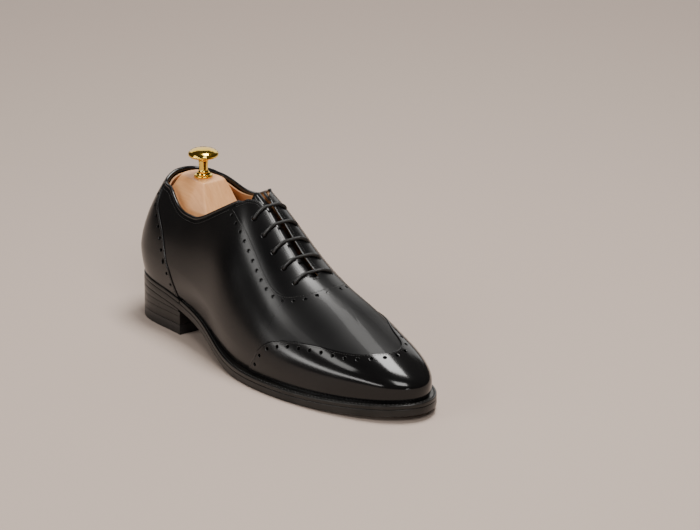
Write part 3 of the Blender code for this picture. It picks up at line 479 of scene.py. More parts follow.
def thicken(name, i, v, drop, faces, out, look):
    """Gives a triangulated stretch of the last its two faces and its edges."""
    base, normal = last_surface(i, v), last_normal(i, v)
    same, kept = {}, np.zeros(len(i), int)
    for k, p in enumerate(base):
        key = tuple(np.round(p / 0.02).astype(int)) if v[k] > ON_RIDGE else ("own", k)
        kept[k] = same.setdefault(key, k)
    total = np.zeros_like(normal)
    np.add.at(total, kept, normal)
    normal = (total / np.maximum(np.linalg.norm(total, axis=1), 1e-9)[:, None])[kept]
    faces = kept[faces]
    faces = faces[(faces[:, 0] != faces[:, 1]) & (faces[:, 1] != faces[:, 2])
                  & (faces[:, 0] != faces[:, 2])]
    used, compact = np.unique(faces, return_inverse=True)
    faces = compact.reshape(faces.shape)
    base, normal, drop, i = base[used], normal[used], drop[used], i[used]
    area = np.cross(base[faces[:, 1]] - base[faces[:, 0]], base[faces[:, 2]] - base[faces[:, 0]])
    turned = (area * normal[faces[:, 0]]).sum(1) < 0
    faces[turned] = faces[turned][:, ::-1]
    lift = np.array([float(out(rib_x(k))) for k in i]) if callable(out) else np.full(len(i), out)
    top = base + normal * (lift - drop)[:, None]
    bottom = base + normal * (lift - np.maximum(THICK, drop + PARED))[:, None]
    count = len(base)
    seen = dict.fromkeys((f[a], f[b]) for f in faces for a, b in ((0, 1), (1, 2), (2, 0)))
    rim = [(a, b) for a, b in seen if (b, a) not in seen]
    walls = [(b, a, a + count, b + count) for a, b in rim]
    every = [tuple(f) for f in faces] + [(f[2] + count, f[1] + count, f[0] + count) for f in faces]
    obj = new_object(name, np.vstack([top, bottom]), every + walls, look)
    sharpen(obj, 50)
    smooth_face = drop < 0.02
    edge = {a for pair in rim for a in pair}
    normals = np.zeros((len(obj.data.loops), 3))
    vertex = np.zeros(len(obj.data.loops), int)
    obj.data.loops.foreach_get("vertex_index", vertex)
    for polygon in obj.data.polygons:
        if len(polygon.vertices) == 3 and polygon.vertices[0] < count:
            for loop in polygon.loop_indices:
                k = vertex[loop]
                if smooth_face[k] and k not in edge:
                    normals[loop] = normal[k]
    obj.data.normals_split_custom_set([tuple(n) for n in normals])
    return obj


def sweep(name, rings, look, body="shoe", caps=True):
    """A skin over rings of points, each ring closed."""
    rings = np.array(rings)
    count, sides = rings.shape[:2]
    faces = []
    for start in range(0, (count - 1) * sides, sides):
        for c in range(sides):
            d = (c + 1) % sides
            faces.append((start + c, start + d, start + sides + d, start + sides + c))
    if caps:
        faces.append(tuple(range(sides))[::-1])
        faces.append(tuple((count - 1) * sides + c for c in range(sides)))
    obj = new_object(name, rings.reshape(-1, 3), faces, look, body)
    turn_outwards(obj)
    return obj


def strip_caps(bm, count):
    """Closes the first and last ring, of count points, by strips across from side to side."""
    bm.verts.ensure_lookup_table()
    for start in (0, len(bm.verts) - count):
        for k in range(count // 2):
            corners = dict.fromkeys((k, k + 1, count - k - 1, (count - k) % count))
            if len(corners) >= 3:
                bm.faces.new([bm.verts[start + c] for c in corners])
    bmesh.ops.recalc_face_normals(bm, faces=bm.faces)


def turn_outwards(obj):
    bm = bmesh.new()
    bm.from_mesh(obj.data)
    bmesh.ops.recalc_face_normals(bm, faces=bm.faces)
    if bm.calc_volume(signed=True) < 0:
        bmesh.ops.reverse_faces(bm, faces=bm.faces)
    bm.to_mesh(obj.data)
    bm.free()


def tube_rings(points, radius, sides=16):
    """Rings round a path; radius is a number or one for each point."""
    points = np.asarray(points, float)
    radius = np.broadcast_to(np.asarray(radius, float), (len(points),))
    way = np.gradient(points, axis=0)
    way /= np.linalg.norm(way, axis=1)[:, None]
    side = np.cross(way[0], (0, 0, 1.0))
    rings = []
    angle = np.linspace(0, 2 * np.pi, sides, endpoint=False)[:, None]
    for p, w, r in zip(points, way, radius):
        side = side - w * (side @ w)
        side /= np.linalg.norm(side)
        up = np.cross(w, side)
        rings.append(p + (np.cos(angle) * side + np.sin(angle) * up) * r)
    return rings


def lathe(name, profile, look, body, place, axis=(0, 0, 1), steps=96):
    """A turned piece from (radius, height) pairs; it starts and ends on its axis."""
    axis = np.asarray(axis, float)
    across = np.cross(axis, (0, 1.0, 0))
    across /= np.linalg.norm(across)
    third = np.cross(axis, across)
    angle = np.linspace(0, 2 * np.pi, steps, endpoint=False)[:, None]
    rings = [np.asarray(place) + axis * h + (np.cos(angle) * across + np.sin(angle) * third)
             * max(r, 0.01) for r, h in profile]
    return sharpen(sweep(name, rings, look, body), 40)


def soften(profile, radius=0.35, steps=4):
    """A turned profile with its corners rounded."""
    p = np.array(profile, float)
    result = [p[0]]
    for a, b, c in zip(p, p[1:], p[2:]):
        reach = min(radius, np.linalg.norm(b - a) * 0.45, np.linalg.norm(c - b) * 0.45)
        start = b + (a - b) / np.linalg.norm(a - b) * reach
        end = b + (c - b) / np.linalg.norm(c - b) * reach
        for t in np.linspace(0, 1, steps):
            result.append((1 - t) ** 2 * start + 2 * t * (1 - t) * b + t * t * end)
    return result + [p[-1]]


# ---- materials ----


class Look:
    """A Principled material with its nodes fed by object coordinates in metres."""

    def __init__(self, name, slot, colour, roughness, **values):
        self.material = bpy.data.materials.new(name)
        self.material.use_nodes = True
        self.slot = slot
        self.nodes = self.material.node_tree.nodes
        self.links = self.material.node_tree.links
        self.shader = self.nodes["Principled BSDF"]
        self.shader.inputs["Base Color"].default_value = (*colour, 1)
        self.shader.inputs["Roughness"].default_value = roughness
        for key, value in values.items():
            self.shader.inputs[key.replace("_", " ")].default_value = value
        self.place = self.node("TexCoord", "Object")

    def node(self, kind, output, **values):
        """One output of a new node, whose inputs are numbers or other outputs."""
        node = self.nodes.new("ShaderNode" + kind)
        for key, value in values.items():
            socket = node.inputs[key.replace("_", " ")]
            if isinstance(value, bpy.types.NodeSocket):
                self.links.new(value, socket)
            else:
                socket.default_value = value
        return node.outputs[output]

    def noise(self, scale, detail=3.0, rough=0.5, stretch=(1, 1, 1), distortion=0.0):
        place = self.node("Mapping", "Vector", Vector=self.place, Scale=stretch)
        return self.node("TexNoise", "Fac", Vector=place, Scale=scale, Detail=detail,
                         Roughness=rough, Distortion=distortion)

    def ramp(self, value, low, high, a, b):
        """value from low..high mapped to a..b."""
        return self.node("MapRange", "Result", Value=value, From_Min=low, From_Max=high,
                         To_Min=a, To_Max=b)

    def maths(self, kind, a, b):
        node = self.nodes.new("ShaderNodeMath")
        node.operation = kind
        for socket, value in zip(node.inputs, (a, b)):
            if isinstance(value, (int, float)):
                socket.default_value = value
            else:
                self.links.new(value, socket)
        return node.outputs[0]

    def colour(self, value, a, b, low=0.35, high=0.65):
        """The base colour, from a where value is low to b where it is high."""
        node = self.nodes.new("ShaderNodeValToRGB")
        for element, colour, position in zip(node.color_ramp.elements, (a, b), (low, high)):
            element.color = (*colour, 1)
            element.position = position
        self.links.new(value, node.inputs["Fac"])
        self.links.new(node.outputs["Color"], self.shader.inputs["Base Color"])

    def rough(self, value, a, b, low=0.3, high=0.7):
        """The roughness, from a where value is low to b where it is high."""
        self.links.new(self.ramp(value, low, high, a, b), self.shader.inputs["Roughness"])

    def bump(self, value, strength, distance):
        normal = {"Normal": link.from_socket for link in self.shader.inputs["Normal"].links}
        bump = self.node("Bump", "Normal", Height=value, Strength=strength, Distance=distance,
                         **normal)
        self.links.new(bump, self.shader.inputs["Normal"])


SHINE_BACK, SHINE_FRONT = 0.03, 0.085      # x in metres between which the shine changes


def calf(name, mirror, front_shine):
    """Black calf whose roughness drops by mirror, and whose reflection changes, to the front."""
    look = Look(name, "black_calf", (0.004, 0.004, 0.0045), 0.25, Coat_Weight=0.06,
                Coat_Roughness=0.1)
    look.colour(look.noise(18, 4), (0.0022, 0.0022, 0.0026), (0.006, 0.0058, 0.006))
    x = look.node("SeparateXYZ", "X", Vector=look.place)
    base = look.ramp(look.noise(30, 2), 0.3, 0.7, 0.22, 0.27)
    toe = look.ramp(x, SHINE_BACK, SHINE_FRONT, 0.0, mirror)
    look.links.new(look.maths("SUBTRACT", base, toe), look.shader.inputs["Roughness"])
    shine = look.ramp(x, SHINE_BACK, SHINE_FRONT, 0.36, front_shine)
    look.links.new(shine, look.shader.inputs["Specular IOR Level"])
    look.bump(look.noise(55, 3), 0.05, 0.0006)
    look.bump(look.noise(420, 2), 0.015, 0.0002)
    return look


CALF = calf("polished_calf", -0.26, 0.2)
WAXED = calf("waxed_toe_calf", 0.10, 0.36)

LAYERED = (60, 60, 2400)   # noise stretched along the layers of the sole and heel

EDGE_WAX = Look("waxed_sole_edge", "sole_edge_black", (0.016, 0.015, 0.015), 0.33,
                Specular_IOR_Level=0.32, Coat_Weight=0.1, Coat_Roughness=0.25)
EDGE_WAX.colour(EDGE_WAX.noise(60, 4), (0.005, 0.0048, 0.0045), (0.013, 0.012, 0.011))
EDGE_WAX.rough(EDGE_WAX.noise(1, 4, 0.6, LAYERED), 0.26, 0.42)
EDGE_WAX.bump(EDGE_WAX.noise(1, 3, 0.5, (60, 60, 5200)), 0.12, 0.0001)

THREAD = Look("waxed_thread", "black_calf", (0.012, 0.0115, 0.011), 0.4)
THREAD.bump(THREAD.noise(2600, 2), 0.3, 0.0001)

RUBBER = Look("heel_tread", "heel_rubber", (0.010, 0.0095, 0.0095), 0.45)
RUBBER.rough(RUBBER.noise(1, 4, 0.6, LAYERED), 0.34, 0.5)
RUBBER.bump(RUBBER.noise(700, 4), 0.12, 0.0002)


def hide(name, slot, pale, dark, scale=260, roughness=0.62):
    look = Look(name, slot, pale, roughness)
    look.colour(look.noise(scale / 9, 5, 0.65), dark, pale)
    look.rough(look.noise(scale / 3, 3), roughness - 0.1, roughness + 0.1)
    look.bump(look.noise(scale * 4, 4, 0.7), 0.16, 0.0002)
    return look


TAN = hide("tan_lining_leather", "tan_lining", (0.50, 0.27, 0.12), (0.36, 0.18, 0.075))
SUEDE = hide("tongue_back_leather", "tan_lining", (0.46, 0.25, 0.11), (0.33, 0.165, 0.07))
BOARD = hide("insole_board", "leather_board", (0.42, 0.27, 0.15), (0.30, 0.18, 0.10), 180, 0.8)

CORK = Look("ground_cork", "cork", (0.35, 0.22, 0.12), 0.9)
grains = CORK.node("TexVoronoi", "Distance", Vector=CORK.place, Scale=420)
CORK.colour(grains, (0.20, 0.11, 0.05), (0.42, 0.27, 0.15), 0.1, 0.6)
CORK.bump(grains, 0.5, 0.0005)

STEEL = Look("bright_steel", "spring_steel", (0.56, 0.57, 0.58), 0.26, Metallic=1.0)
STEEL.rough(STEEL.noise(1, 3, 0.6, (900, 900, 60)), 0.2, 0.36)
STEEL.bump(STEEL.noise(1, 3, 0.6, (1500, 1500, 90)), 0.05, 0.0001)

BRASS = Look("polished_brass_gold", "polished_brass", (1.0, 0.66, 0.10), 0.12, Metallic=1.0)
BRASS.colour(BRASS.noise(150, 3), (0.97, 0.61, 0.08), (1.0, 0.70, 0.13))
BRASS.rough(BRASS.noise(400, 4), 0.08, 0.17)
BRASS.bump(BRASS.noise(900, 3), 0.02, 0.0001)

WOOD = Look("pale_tree_wood", "tree_beech", (0.78, 0.48, 0.29), 0.42, Coat_Weight=0.1,
            Coat_Roughness=0.35)
grain = WOOD.noise(1, 5, 0.62, (22, 260, 60), 0.6)
fibre = WOOD.noise(1, 3, 0.5, (70, 1700, 420))
WOOD.colour(WOOD.maths("ADD", WOOD.maths("MULTIPLY", grain, 0.75),
                       WOOD.maths("MULTIPLY", fibre, 0.25)),
            (0.70, 0.31, 0.115), (0.89, 0.48, 0.22), 0.3, 0.68)
WOOD.rough(fibre, 0.36, 0.52)
WOOD.bump(fibre, 0.10, 0.00015)

LACE_LOOK = Look("waxed_lace", "waxed_cotton", (0.010, 0.010, 0.010), 0.36,
                 Specular_IOR_Level=0.5)
braid_uv = LACE_LOOK.node("TexCoord", "UV")
weave = LACE_LOOK.maths("MAXIMUM", *(
    LACE_LOOK.node("TexWave", "Fac", Scale=1.0, Vector=LACE_LOOK.node(
        "Mapping", "Vector", Vector=braid_uv, Rotation=(0, 0, math.radians(angle))))
    for angle in (45, -45)))
LACE_LOOK.bump(weave, 0.5, 0.00022)
LACE_LOOK.rough(weave, 0.46, 0.30, 0, 1)

KEPT = {"sock_liner": TAN, "insole": BOARD, "toe_puff": BOARD, "heel_stiffener": BOARD,
        "cork_filler": CORK, "shank": STEEL, "tree_pin_1": STEEL, "tree_pin_2": STEEL,
        "tree_toe_spring_1": STEEL, "tree_toe_spring_2": STEEL, "tree_heel_spring": STEEL}
for node, look in KEPT.items():
    for material_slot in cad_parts[node].material_slots:
        material_slot.material = look.material

# ---- leather panels ----

UNDER = -0.14              # the facings lie a little under the quarters
OVERLAY = 0.75             # the wing and the counter lie on top
THICK = 1.0                # of a leather panel
PARED = 0.25               # least thickness left at a cut edge
CUT = 0.3                  # drop at a cut edge
PARED_SEAM = 0.1           # drop where the vamp meets the facing
SEAM_END = 0.004           # a seam stops this much of v below the topline
UNDERLAP = 7.5             # how far a panel runs on below its neighbour


def raised(path, side):
    """The chains inside a cut edge that round it over; the panel lies on the given side."""
    return [with_drop(beside(path, side * inwards)[2:-2], drop)
            for inwards, drop in ((0.3, 0.07), (0.75, 0))]


def flush(path, side):
    """The chain inside a thinly pared edge."""
    return [with_drop(beside(path, side * 0.35)[2:-2], 0.0)]


def tucked(path, side):
    """The border, chains and outline of the part that runs on below a neighbour."""
    border = beside(path, -side * UNDERLAP)
    border[:, 1] = np.minimum(border[:, 1], NEAR_RIDGE)
    start = beside(path, -side * 1.2)
    chains = [with_drop(start[2:-2], TUCK), with_drop(beside(path, side * 0.4)[2:-2], 0.0)]
    return with_drop(border, TUCK), chains, np.vstack([start, border[::-1]])


def counter_path(side):
    """The counter's front seam, from the welt up to the topline."""
    table = [(COUNTER_FRONT, LOW), (60, 0.30), (57.3, 0.60), (54.0, 0.93), (48.5, 1.135),
             (41, 1.255), (32, 1.335), (23, 1.405),
             (COUNTER_TOP, topline(COUNTER_TOP, side) - SEAM_END)]
    return even(rounded(np.array([(side_index(x, side), v) for x, v in table])), 1.6)


def wing_path(side):
    """The wing's seam from the welt to the middle of the toe."""
    xs = [176, 179, 182, 186, 192, 202, 212, 225, 238, 251, 264, 276, 286, 293]
    points = [(side_index(WING_BACK - 0.4, side), LOW)]
    points += [(side_index(x, side), wing(x, side)) for x in xs] + [(float(TOE), 1.592)]
    return even(rounded(np.array(points)), 1.6)


def facing_path(side):
    """The facing's seam from the topline forward to the ridge."""
    xs = np.concatenate([np.arange(FACING_BACK, 205, 2.0), [205.5, 207, 208]])
    path = np.array([(side_index(x, side), min(float(facing_seam(x)), 1.99)) for x in xs])
    path[0, 1] = topline(FACING_BACK, side) - SEAM_END
    return path


def top_path(side, first, last, step=2.0):
    xs = np.linspace(first, last, max(int((last - first) / step), 2))
    return np.array([(side_index(x, side), topline(x, side)) for x in xs])


def base_path(side, first, last, step=2.5):
    xs = np.linspace(first, last, max(int(abs(last - first) / step), 2))
    return np.array([(side_index(x, side), LOW) for x in xs])


RIDGE_X = [208, 210.5, 213, 216, 219, 222.5, 227, 232, 239, 250, 270]


def ridge_path(side, xs=RIDGE_X):
    return np.array([(side_index(x, side), 2.0) for x in xs])


def join(*parts):
    """One closed loop from (path, drop) pairs and paths with drops, without doubled points."""
    points = np.vstack([with_drop(*part) if isinstance(part, tuple) else part for part in parts])

    def apart(p, q):
        return abs(p[0] - q[0]) + abs(p[1] - q[1]) * V_SCALE > 0.05

    kept = [points[0]]
    for p in points[1:]:
        if apart(p, kept[-1]):
            kept.append(p)
    return np.array(kept if apart(kept[0], kept[-1]) else kept[:-1])


PUNCH = 1.25               # radius of a brogue hole


def punches(path, side, offset, spacing, stop=0):
    """Brogue holes at even spacing beside a seam, left out at its start and at its last stop."""
    line = even(beside(path, side * offset), spacing)
    return [(i, v, PUNCH) for i, v in line[1:len(line) - stop] if v < NORMAL_TOP]


EYELETS = {s: [(side_index(x, s), EYELET_V, EYELET / 2) for x in EYELET_X] for s in (-1, 1)}
TOE_POINT = np.array([(float(TOE), 2.0)])

wing_all = np.vstack([wing_path(-1), wing_path(1)[::-1][1:]])
counter_outer_path, counter_inner_path = counter_path(-1), counter_path(1)
facing_outer_path, facing_inner_path = facing_path(-1), facing_path(1)


def make_vamp():
    wing_tuck, wing_chains, wing_below = tucked(wing_all, 1)
    outer_tuck, outer_chains, outer_below = tucked(counter_outer_path, -1)
    inner_tuck, inner_chains, inner_below = tucked(counter_inner_path, 1)
    low_outer, low_inner = base_path(-1, 66, 173), base_path(1, 173, 66)
    top_inner, top_outer = top_path(1, 16, 112.5), top_path(-1, 16, 112.5)[::-1]
    loop = join((low_outer, 0), wing_tuck, (low_inner, 0), inner_tuck, (top_inner, CUT),
                (facing_inner_path, PARED_SEAM), (ridge_path(1), 0), (TOE_POINT, 0),
                (ridge_path(-1)[::-1], 0), (facing_outer_path[::-1], PARED_SEAM),
                (top_outer, CUT), outer_tuck[::-1])
    chains = (wing_chains + outer_chains + inner_chains + flush(facing_outer_path, -1)
              + flush(facing_inner_path, 1))
    holes = punches(facing_outer_path, -1, 4.2, 8.5) + punches(facing_inner_path, 1, 4.2, 8.5)
    panel("vamp_leather", "vamp_and_quarters", [loop], chains, holes, 0.0, CALF,
          tucks=[wing_below, outer_below, inner_below])


def make_wing():
    loop = join((base_path(-1, WING_BACK, TOE_END), 0), (base_path(1, TOE_END, WING_BACK), 0),
                (wing_all[::-1], CUT))
    holes = punches(wing_all, -1, 4.3, 9.5, 1)
    panel("wing_leather", "toe_wing", [loop], raised(wing_all, -1), holes, OVERLAY, WAXED)


def make_counter():
    inner = counter_inner_path - (LOOP, 0)
    back = [(float(HEEL), topline(0, -1))]
    loop = join((inner, CUT), (top_path(1, 1, COUNTER_TOP)[::-1] - (LOOP, 0), 0.1), (back, 0.1),
                (top_path(-1, 1, COUNTER_TOP), 0.1), (counter_outer_path[::-1], CUT),
                (base_path(-1, COUNTER_FRONT, 1), 0),
                ((base_path(1, COUNTER_FRONT, 1) - (LOOP, 0))[::-1], 0))
    holes = punches(counter_outer_path, 1, 4.0, 9.0, 1) + punches(inner, -1, 4.0, 9.0, 1)
    chains = raised(counter_outer_path, 1) + raised(inner, -1)
    panel("counter_leather", "heel_counter", [loop], chains, holes, OVERLAY, CALF)


CORNER_START = 121.5       # the collar turns down into the lace opening from here
CORNER = [(124.5, -0.088), (127.5, -0.046), (130.5, -0.02), (134, -0.006), (138, 0)]


def throat(side):
    """The edge of the facing, round its upper corner and along the lace opening."""
    turned = [(side_index(x, side), THROAT_EDGE[side] + dv) for x, dv in CORNER]
    straight = [(side_index(x, side), THROAT_EDGE[side])
                for x in np.arange(140, THROAT_END + 0.1, 2.0)]
    return np.array(turned + straight)


def make_facing():
    loops, chains, holes, tucks = [], [], [], []
    for side, path in ((-1, facing_outer_path), (1, facing_inner_path)):
        border, seam_chains, below = tucked(path, -side)
        edge_line = throat(side)
        loops.append(join((top_path(side, 106, CORNER_START), CUT), (edge_line, CUT),
                          (ridge_path(side, [THROAT_END + 0.6]), 0.2),
                          (ridge_path(side, [196, 199, 202, 205, 208, 212, 216]), 0),
                          border[::-1]))
        chains += raised(edge_line, side) + seam_chains
        tucks.append(below)
        holes += EYELETS[side]
    panel("facing_leather", "facing", loops, chains, holes, UNDER, CALF, tucks=tucks)


def lining_out(x):
    """Where the linings lie, deeper at the heel and toe to clear the stiffeners."""
    deep = np.interp(x, [62, 84, 208, 225], [1, 0, 0, 1])
    return -2.1 - 1.4 * float(deep)


def lining_throat(side):
    """The lining stops short of the edge of the lace opening."""
    return beside(throat(side), side * 1.8)


LINING_SPACING = 3.0
EYELET_MARGIN = 0.8        # the lining's holes are this much wider


def make_linings():
    back = [(0.0, topline(0, -1))]
    loop = join((top_path(1, 1, LINING_SEAM)[::-1] - (LOOP, 0), 0), (back, 0),
                (top_path(-1, 1, LINING_SEAM), 0), (base_path(-1, LINING_SEAM, 1), 0),
                (base_path(1, 1, LINING_SEAM) - (LOOP, 0), 0))
    panel("quarter_lining_leather", "quarter_lining", [loop], [], [], lining_out, TAN,
          LINING_SPACING)
    xs = [196, 200, 204] + RIDGE_X
    start = LINING_SEAM + 0.7
    loop = join((base_path(-1, start, TOE_END), 0), (base_path(1, TOE_END, start), 0),
                (top_path(1, start, CORNER_START), 0), (lining_throat(1), 0),
                (ridge_path(1, xs), 0), (TOE_POINT, 0), (ridge_path(-1, xs)[::-1], 0),
                (lining_throat(-1)[::-1], 0), (top_path(-1, start, CORNER_START)[::-1], 0))
    wide = [(i, v, radius + EYELET_MARGIN) for i, v, radius in EYELETS[-1] + EYELETS[1]]
    panel("vamp_lining_leather", "vamp_lining", [loop], [], wide, lining_out, TAN, LINING_SPACING)


TONGUE_TOP, TONGUE_END = 120.0, 204.0


def tongue_out(y):
    """The tongue lies close below the lace opening and drops away below the facings."""
    away = np.clip((abs(y) - 2) / 9, 0, 1)
    return -3.9 - 3.6 * away * away * (3 - 2 * away)


def make_tongue():
    """The tongue and its lining, with rounded upper corners."""
    across = np.linspace(-1, 1, 41)
    xs = np.linspace(TONGUE_TOP, TONGUE_END, 64)
    for name, node, deeper, thick, half, look in (
            ("tongue_leather", "tongue", 0.0, 1.3, 23.0, CALF),
            ("tongue_lining_leather", "tongue_lining", 2.2, 0.9, 22.0, SUEDE)):
        rings = []
        for x in xs:
            narrow = half - 7 * max(0.0, 1 - (x - TONGUE_TOP) / 8) ** 2
            face, back = [], []
            for part in across:
                y = part * narrow
                out = tongue_out(y) - deeper
                round_off = 0.35 if abs(part) == 1 or x in (xs[0], xs[-1]) else 0.0
                face.append(crest_point(x, y + float(midline(x)), out - round_off))
                back.append(crest_point(x, y + float(midline(x)), out - thick + round_off))
            rings.append(face + back[::-1])
        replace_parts(sharpen(sweep(name, rings, look), 60), node)


def collar_line():
    """The top of the collar from its inner front corner round the heel to the outer one."""
    inner = top_path(1, 1, CORNER_START, 1.5)[::-1] - (LOOP, 0)
    outer = top_path(-1, 1, CORNER_START, 1.5)
    return even(np.vstack([inner, [(0.0, topline(0, -1))], outer]), 1.5)


ROLL_OUT, ROLL_UP = 1.7, 1.5               # half width and half height of the collar's roll
ROLL_DEPTH = -0.75         # its middle, below the outer face


def make_collar():
    """The rolled edge of the collar: a cord of leather that the upper is turned over."""
    i, v = collar_line().T
    top, below = offset_surface(i, v, ROLL_DEPTH), offset_surface(i, v - 0.03, ROLL_DEPTH)
    up = top - below
    up /= np.linalg.norm(up, axis=1)[:, None]
    normal = last_normal(i, v)
    angle = np.linspace(0, 2 * np.pi, 16, endpoint=False)[:, None]
    thin = np.clip(np.minimum(np.arange(len(i)), np.arange(len(i))[::-1]) / 6, 0.2, 1)
    middle = top + up * (0.5 - 2.4 * (1 - thin))[:, None]
    rings = [m + (np.cos(angle) * n * ROLL_OUT + np.sin(angle) * u * ROLL_UP) * t
             for m, n, u, t in zip(middle, normal, up, thin)]
    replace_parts(sweep("collar_roll", rings, CALF), "collar_piping")


# ---- sewing ----

# pitch, length and width of a stitch
COARSE = (1.9, 1.45, 0.42)
FINE = (1.7, 1.3, 0.42)
TACK = (3.1, 3.2, 0.45)
WELTING = (3.0, 2.5, 0.85)
# a stitch along its length: place, thickness and rise, as parts of its half length and width
STITCH = ((-1, 0.25, -0.55), (-0.82, 0.72, -0.2), (-0.4, 0.95, 0.06), (0, 1, 0.14),
          (0.4, 0.95, 0.06), (0.82, 0.72, -0.2), (1, 0.25, -0.55))
STITCH_SIDES = 7


def stitches(name, lines, pitch, length, width):
    """Separate thread stitches along lines of (points, normals) in millimetres."""
    points, faces = [], []
    angle = np.linspace(0, 2 * np.pi, STITCH_SIDES, endpoint=False)
    last_ring = (len(STITCH) - 1) * STITCH_SIDES
    for path, normals in lines:
        run = run_along(path)
        at = np.arange(pitch / 2, run[-1], pitch)
        way = read_at(at + 0.3, run, path) - read_at(at - 0.3, run, path)
        for m, w, n in zip(read_at(at, run, path), way, read_at(at, run, normals)):
            w = w / max(np.linalg.norm(w), 1e-6)
            n = n - w * (n @ w)
            n /= np.linalg.norm(n)
            side = np.cross(w, n)
            start = len(points)
            for a, t, r in STITCH:
                centre = m + w * a * length / 2 + n * r * width
                for q in angle:
                    points.append(centre + (math.cos(q) * side + math.sin(q) * n) * t * width / 2)
            for ring in range(start, start + last_ring, STITCH_SIDES):
                for c in range(STITCH_SIDES):
                    d = (c + 1) % STITCH_SIDES
                    faces.append((ring + c, ring + d, ring + STITCH_SIDES + d,
                                  ring + STITCH_SIDES + c))
            faces.append(tuple(start + c for c in range(STITCH_SIDES))[::-1])
            faces.append(tuple(start + last_ring + c for c in range(STITCH_SIDES)))
    turn_outwards(new_object(name, points, faces, THREAD))


def on_panel(path, out):
    """A path of (i, v) as points on a panel's face, with the normals there."""
    i, v = path.T
    return offset_surface(i, v, out), last_normal(i, v)


def row(path, distance, out, first=1, stop=-2):
    """A row of sewing beside a seam."""
    return on_panel(even(beside(path, distance)[first:stop], 1.0), out)


def make_sewing():
    stitches("wing_stitching", [row(wing_all, -1.5, OVERLAY, 2)], *COARSE)
    counter = [row(counter_outer_path, 1.5, OVERLAY), row(counter_inner_path, -1.5, OVERLAY)]
    stitches("counter_stitching", counter, *COARSE)
    facing = [row(facing_outer_path, -1.3, 0.0, stop=-1), row(facing_inner_path, 1.3, 0.0, stop=-1)]
    stitches("facing_stitching", facing, *FINE)
    edges = []
    for side in (-1, 1):
        line = even(np.vstack([top_path(side, 113.5, CORNER_START), throat(side)]), 1.0)
        edges += [row(line, distance * side, UNDER, stop=None) for distance in (1.5, 3.1)]
    stitches("throat_stitching", edges, *FINE)
    make_collar_stitching()
    bars = []
    for k in range(5):
        x = THROAT_END + 1.2 + k * 0.35
        across = [crest_point(x, float(midline(x)) + y, UNDER + 0.12)
                  for y in np.linspace(-3.2, 3.2, 9)]
        bars.append((np.array(across), np.tile((0.5, 0, 0.86), (9, 1))))
    stitches("throat_bar_tack", bars, *TACK)
    first, last = int(side_index(HEEL_BREAST, -1)) + 2, int(side_index(HEEL_BREAST, 1)) - 2
    loop = inset_loop(1.7)[first:last]
    path = np.column_stack([loop, sole_top(loop[:, 0]) + 0.02])
    stitches("welt_stitching", [(path, np.tile((0, 0, 1.0), (len(path), 1)))], *WELTING)


def make_collar_stitching():
    """One row below the collar's roll, up on the counter at the back."""
    collar = even(beside(collar_line(), -3.2), 1.0)
    collar = collar[[rib_x(i) < FACING_BACK - 1 for i in collar[:, 0]]]
    i = collar[:, 0]
    on_counter = (i > counter_inner_path[-1, 0] - LOOP) & (i < counter_outer_path[-1, 0])
    stitches("collar_stitching", [on_panel(collar, np.where(on_counter, OVERLAY, 0.0))], *COARSE)


# ---- sole and heel ----


def layer(name, node, ring, z_low, z_high, look, corner=0.5, bulge=0.0):
    """A layer of the sole or heel: the ring's edge with its corners rounded, and flat faces."""
    way = np.roll(ring, -1, 0) - np.roll(ring, 1, 0)
    way /= np.maximum(np.linalg.norm(way, axis=1), 1e-6)[:, None]
    outward = np.stack([way[:, 1], -way[:, 0]], 1)
    profile = []
    for turn in np.linspace(0, np.pi / 2, 5):
        profile.append((corner * (1 - math.sin(turn)), 1, -corner * (1 - math.cos(turn))))
    profile.append((-bulge, 0.5, 0.0))
    for turn in np.linspace(np.pi / 2, 0, 5):
        profile.append((corner * (1 - math.sin(turn)), 0, corner * (1 - math.cos(turn))))
    rings = []
    for inset, part, dz in profile:
        flat = ring - outward * inset
        low, high = z_low(ring[:, 0]), z_high(ring[:, 0])
        rings.append(np.column_stack([flat, low + (high - low) * part + dz]))
    obj = sweep(name, rings, look, caps=False)
    bm = bmesh.new()
    bm.from_mesh(obj.data)
    strip_caps(bm, len(ring))
    for face in bm.faces:
        face.smooth = True
    bm.to_mesh(obj.data)
    bm.free()
    sharpen(obj, 50)
    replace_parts(obj, node)


BREAST_HOLLOW = 1.2        # how far the heel's front curves in


def heel_ring(breast):
    """The back of the edge as far as the heel's breast, closed by a slightly hollow front."""
    start, half = int(np.argmin(EDGE[:, 0])), np.arange(LOOP // 3)
    outer, inner = EDGE[(start + half) % LOOP], EDGE[(start - half) % LOOP]
    outer, inner = outer[outer[:, 0] < breast], inner[inner[:, 0] < breast]
    part = np.linspace(0, 1, 60)
    y = outer[-1, 1] + (inner[-1, 1] - outer[-1, 1]) * part
    front = np.column_stack([breast - BREAST_HOLLOW * np.sin(part * np.pi), y])
    return np.vstack([outer[::2], front, inner[::2][::-1][:-1]])


def outsole_low(x):
    return np.maximum(sole_top(x) - SOLE_EDGE, 0)


def seat_line(x):
    """The top of the lifts, which slopes down to the breast."""
    return 21.0 - 3.0 * (np.asarray(x) + 1.5) / (HEEL_BREAST + 1.5)


def level(z):
    return lambda x: np.full(np.shape(x), float(z))


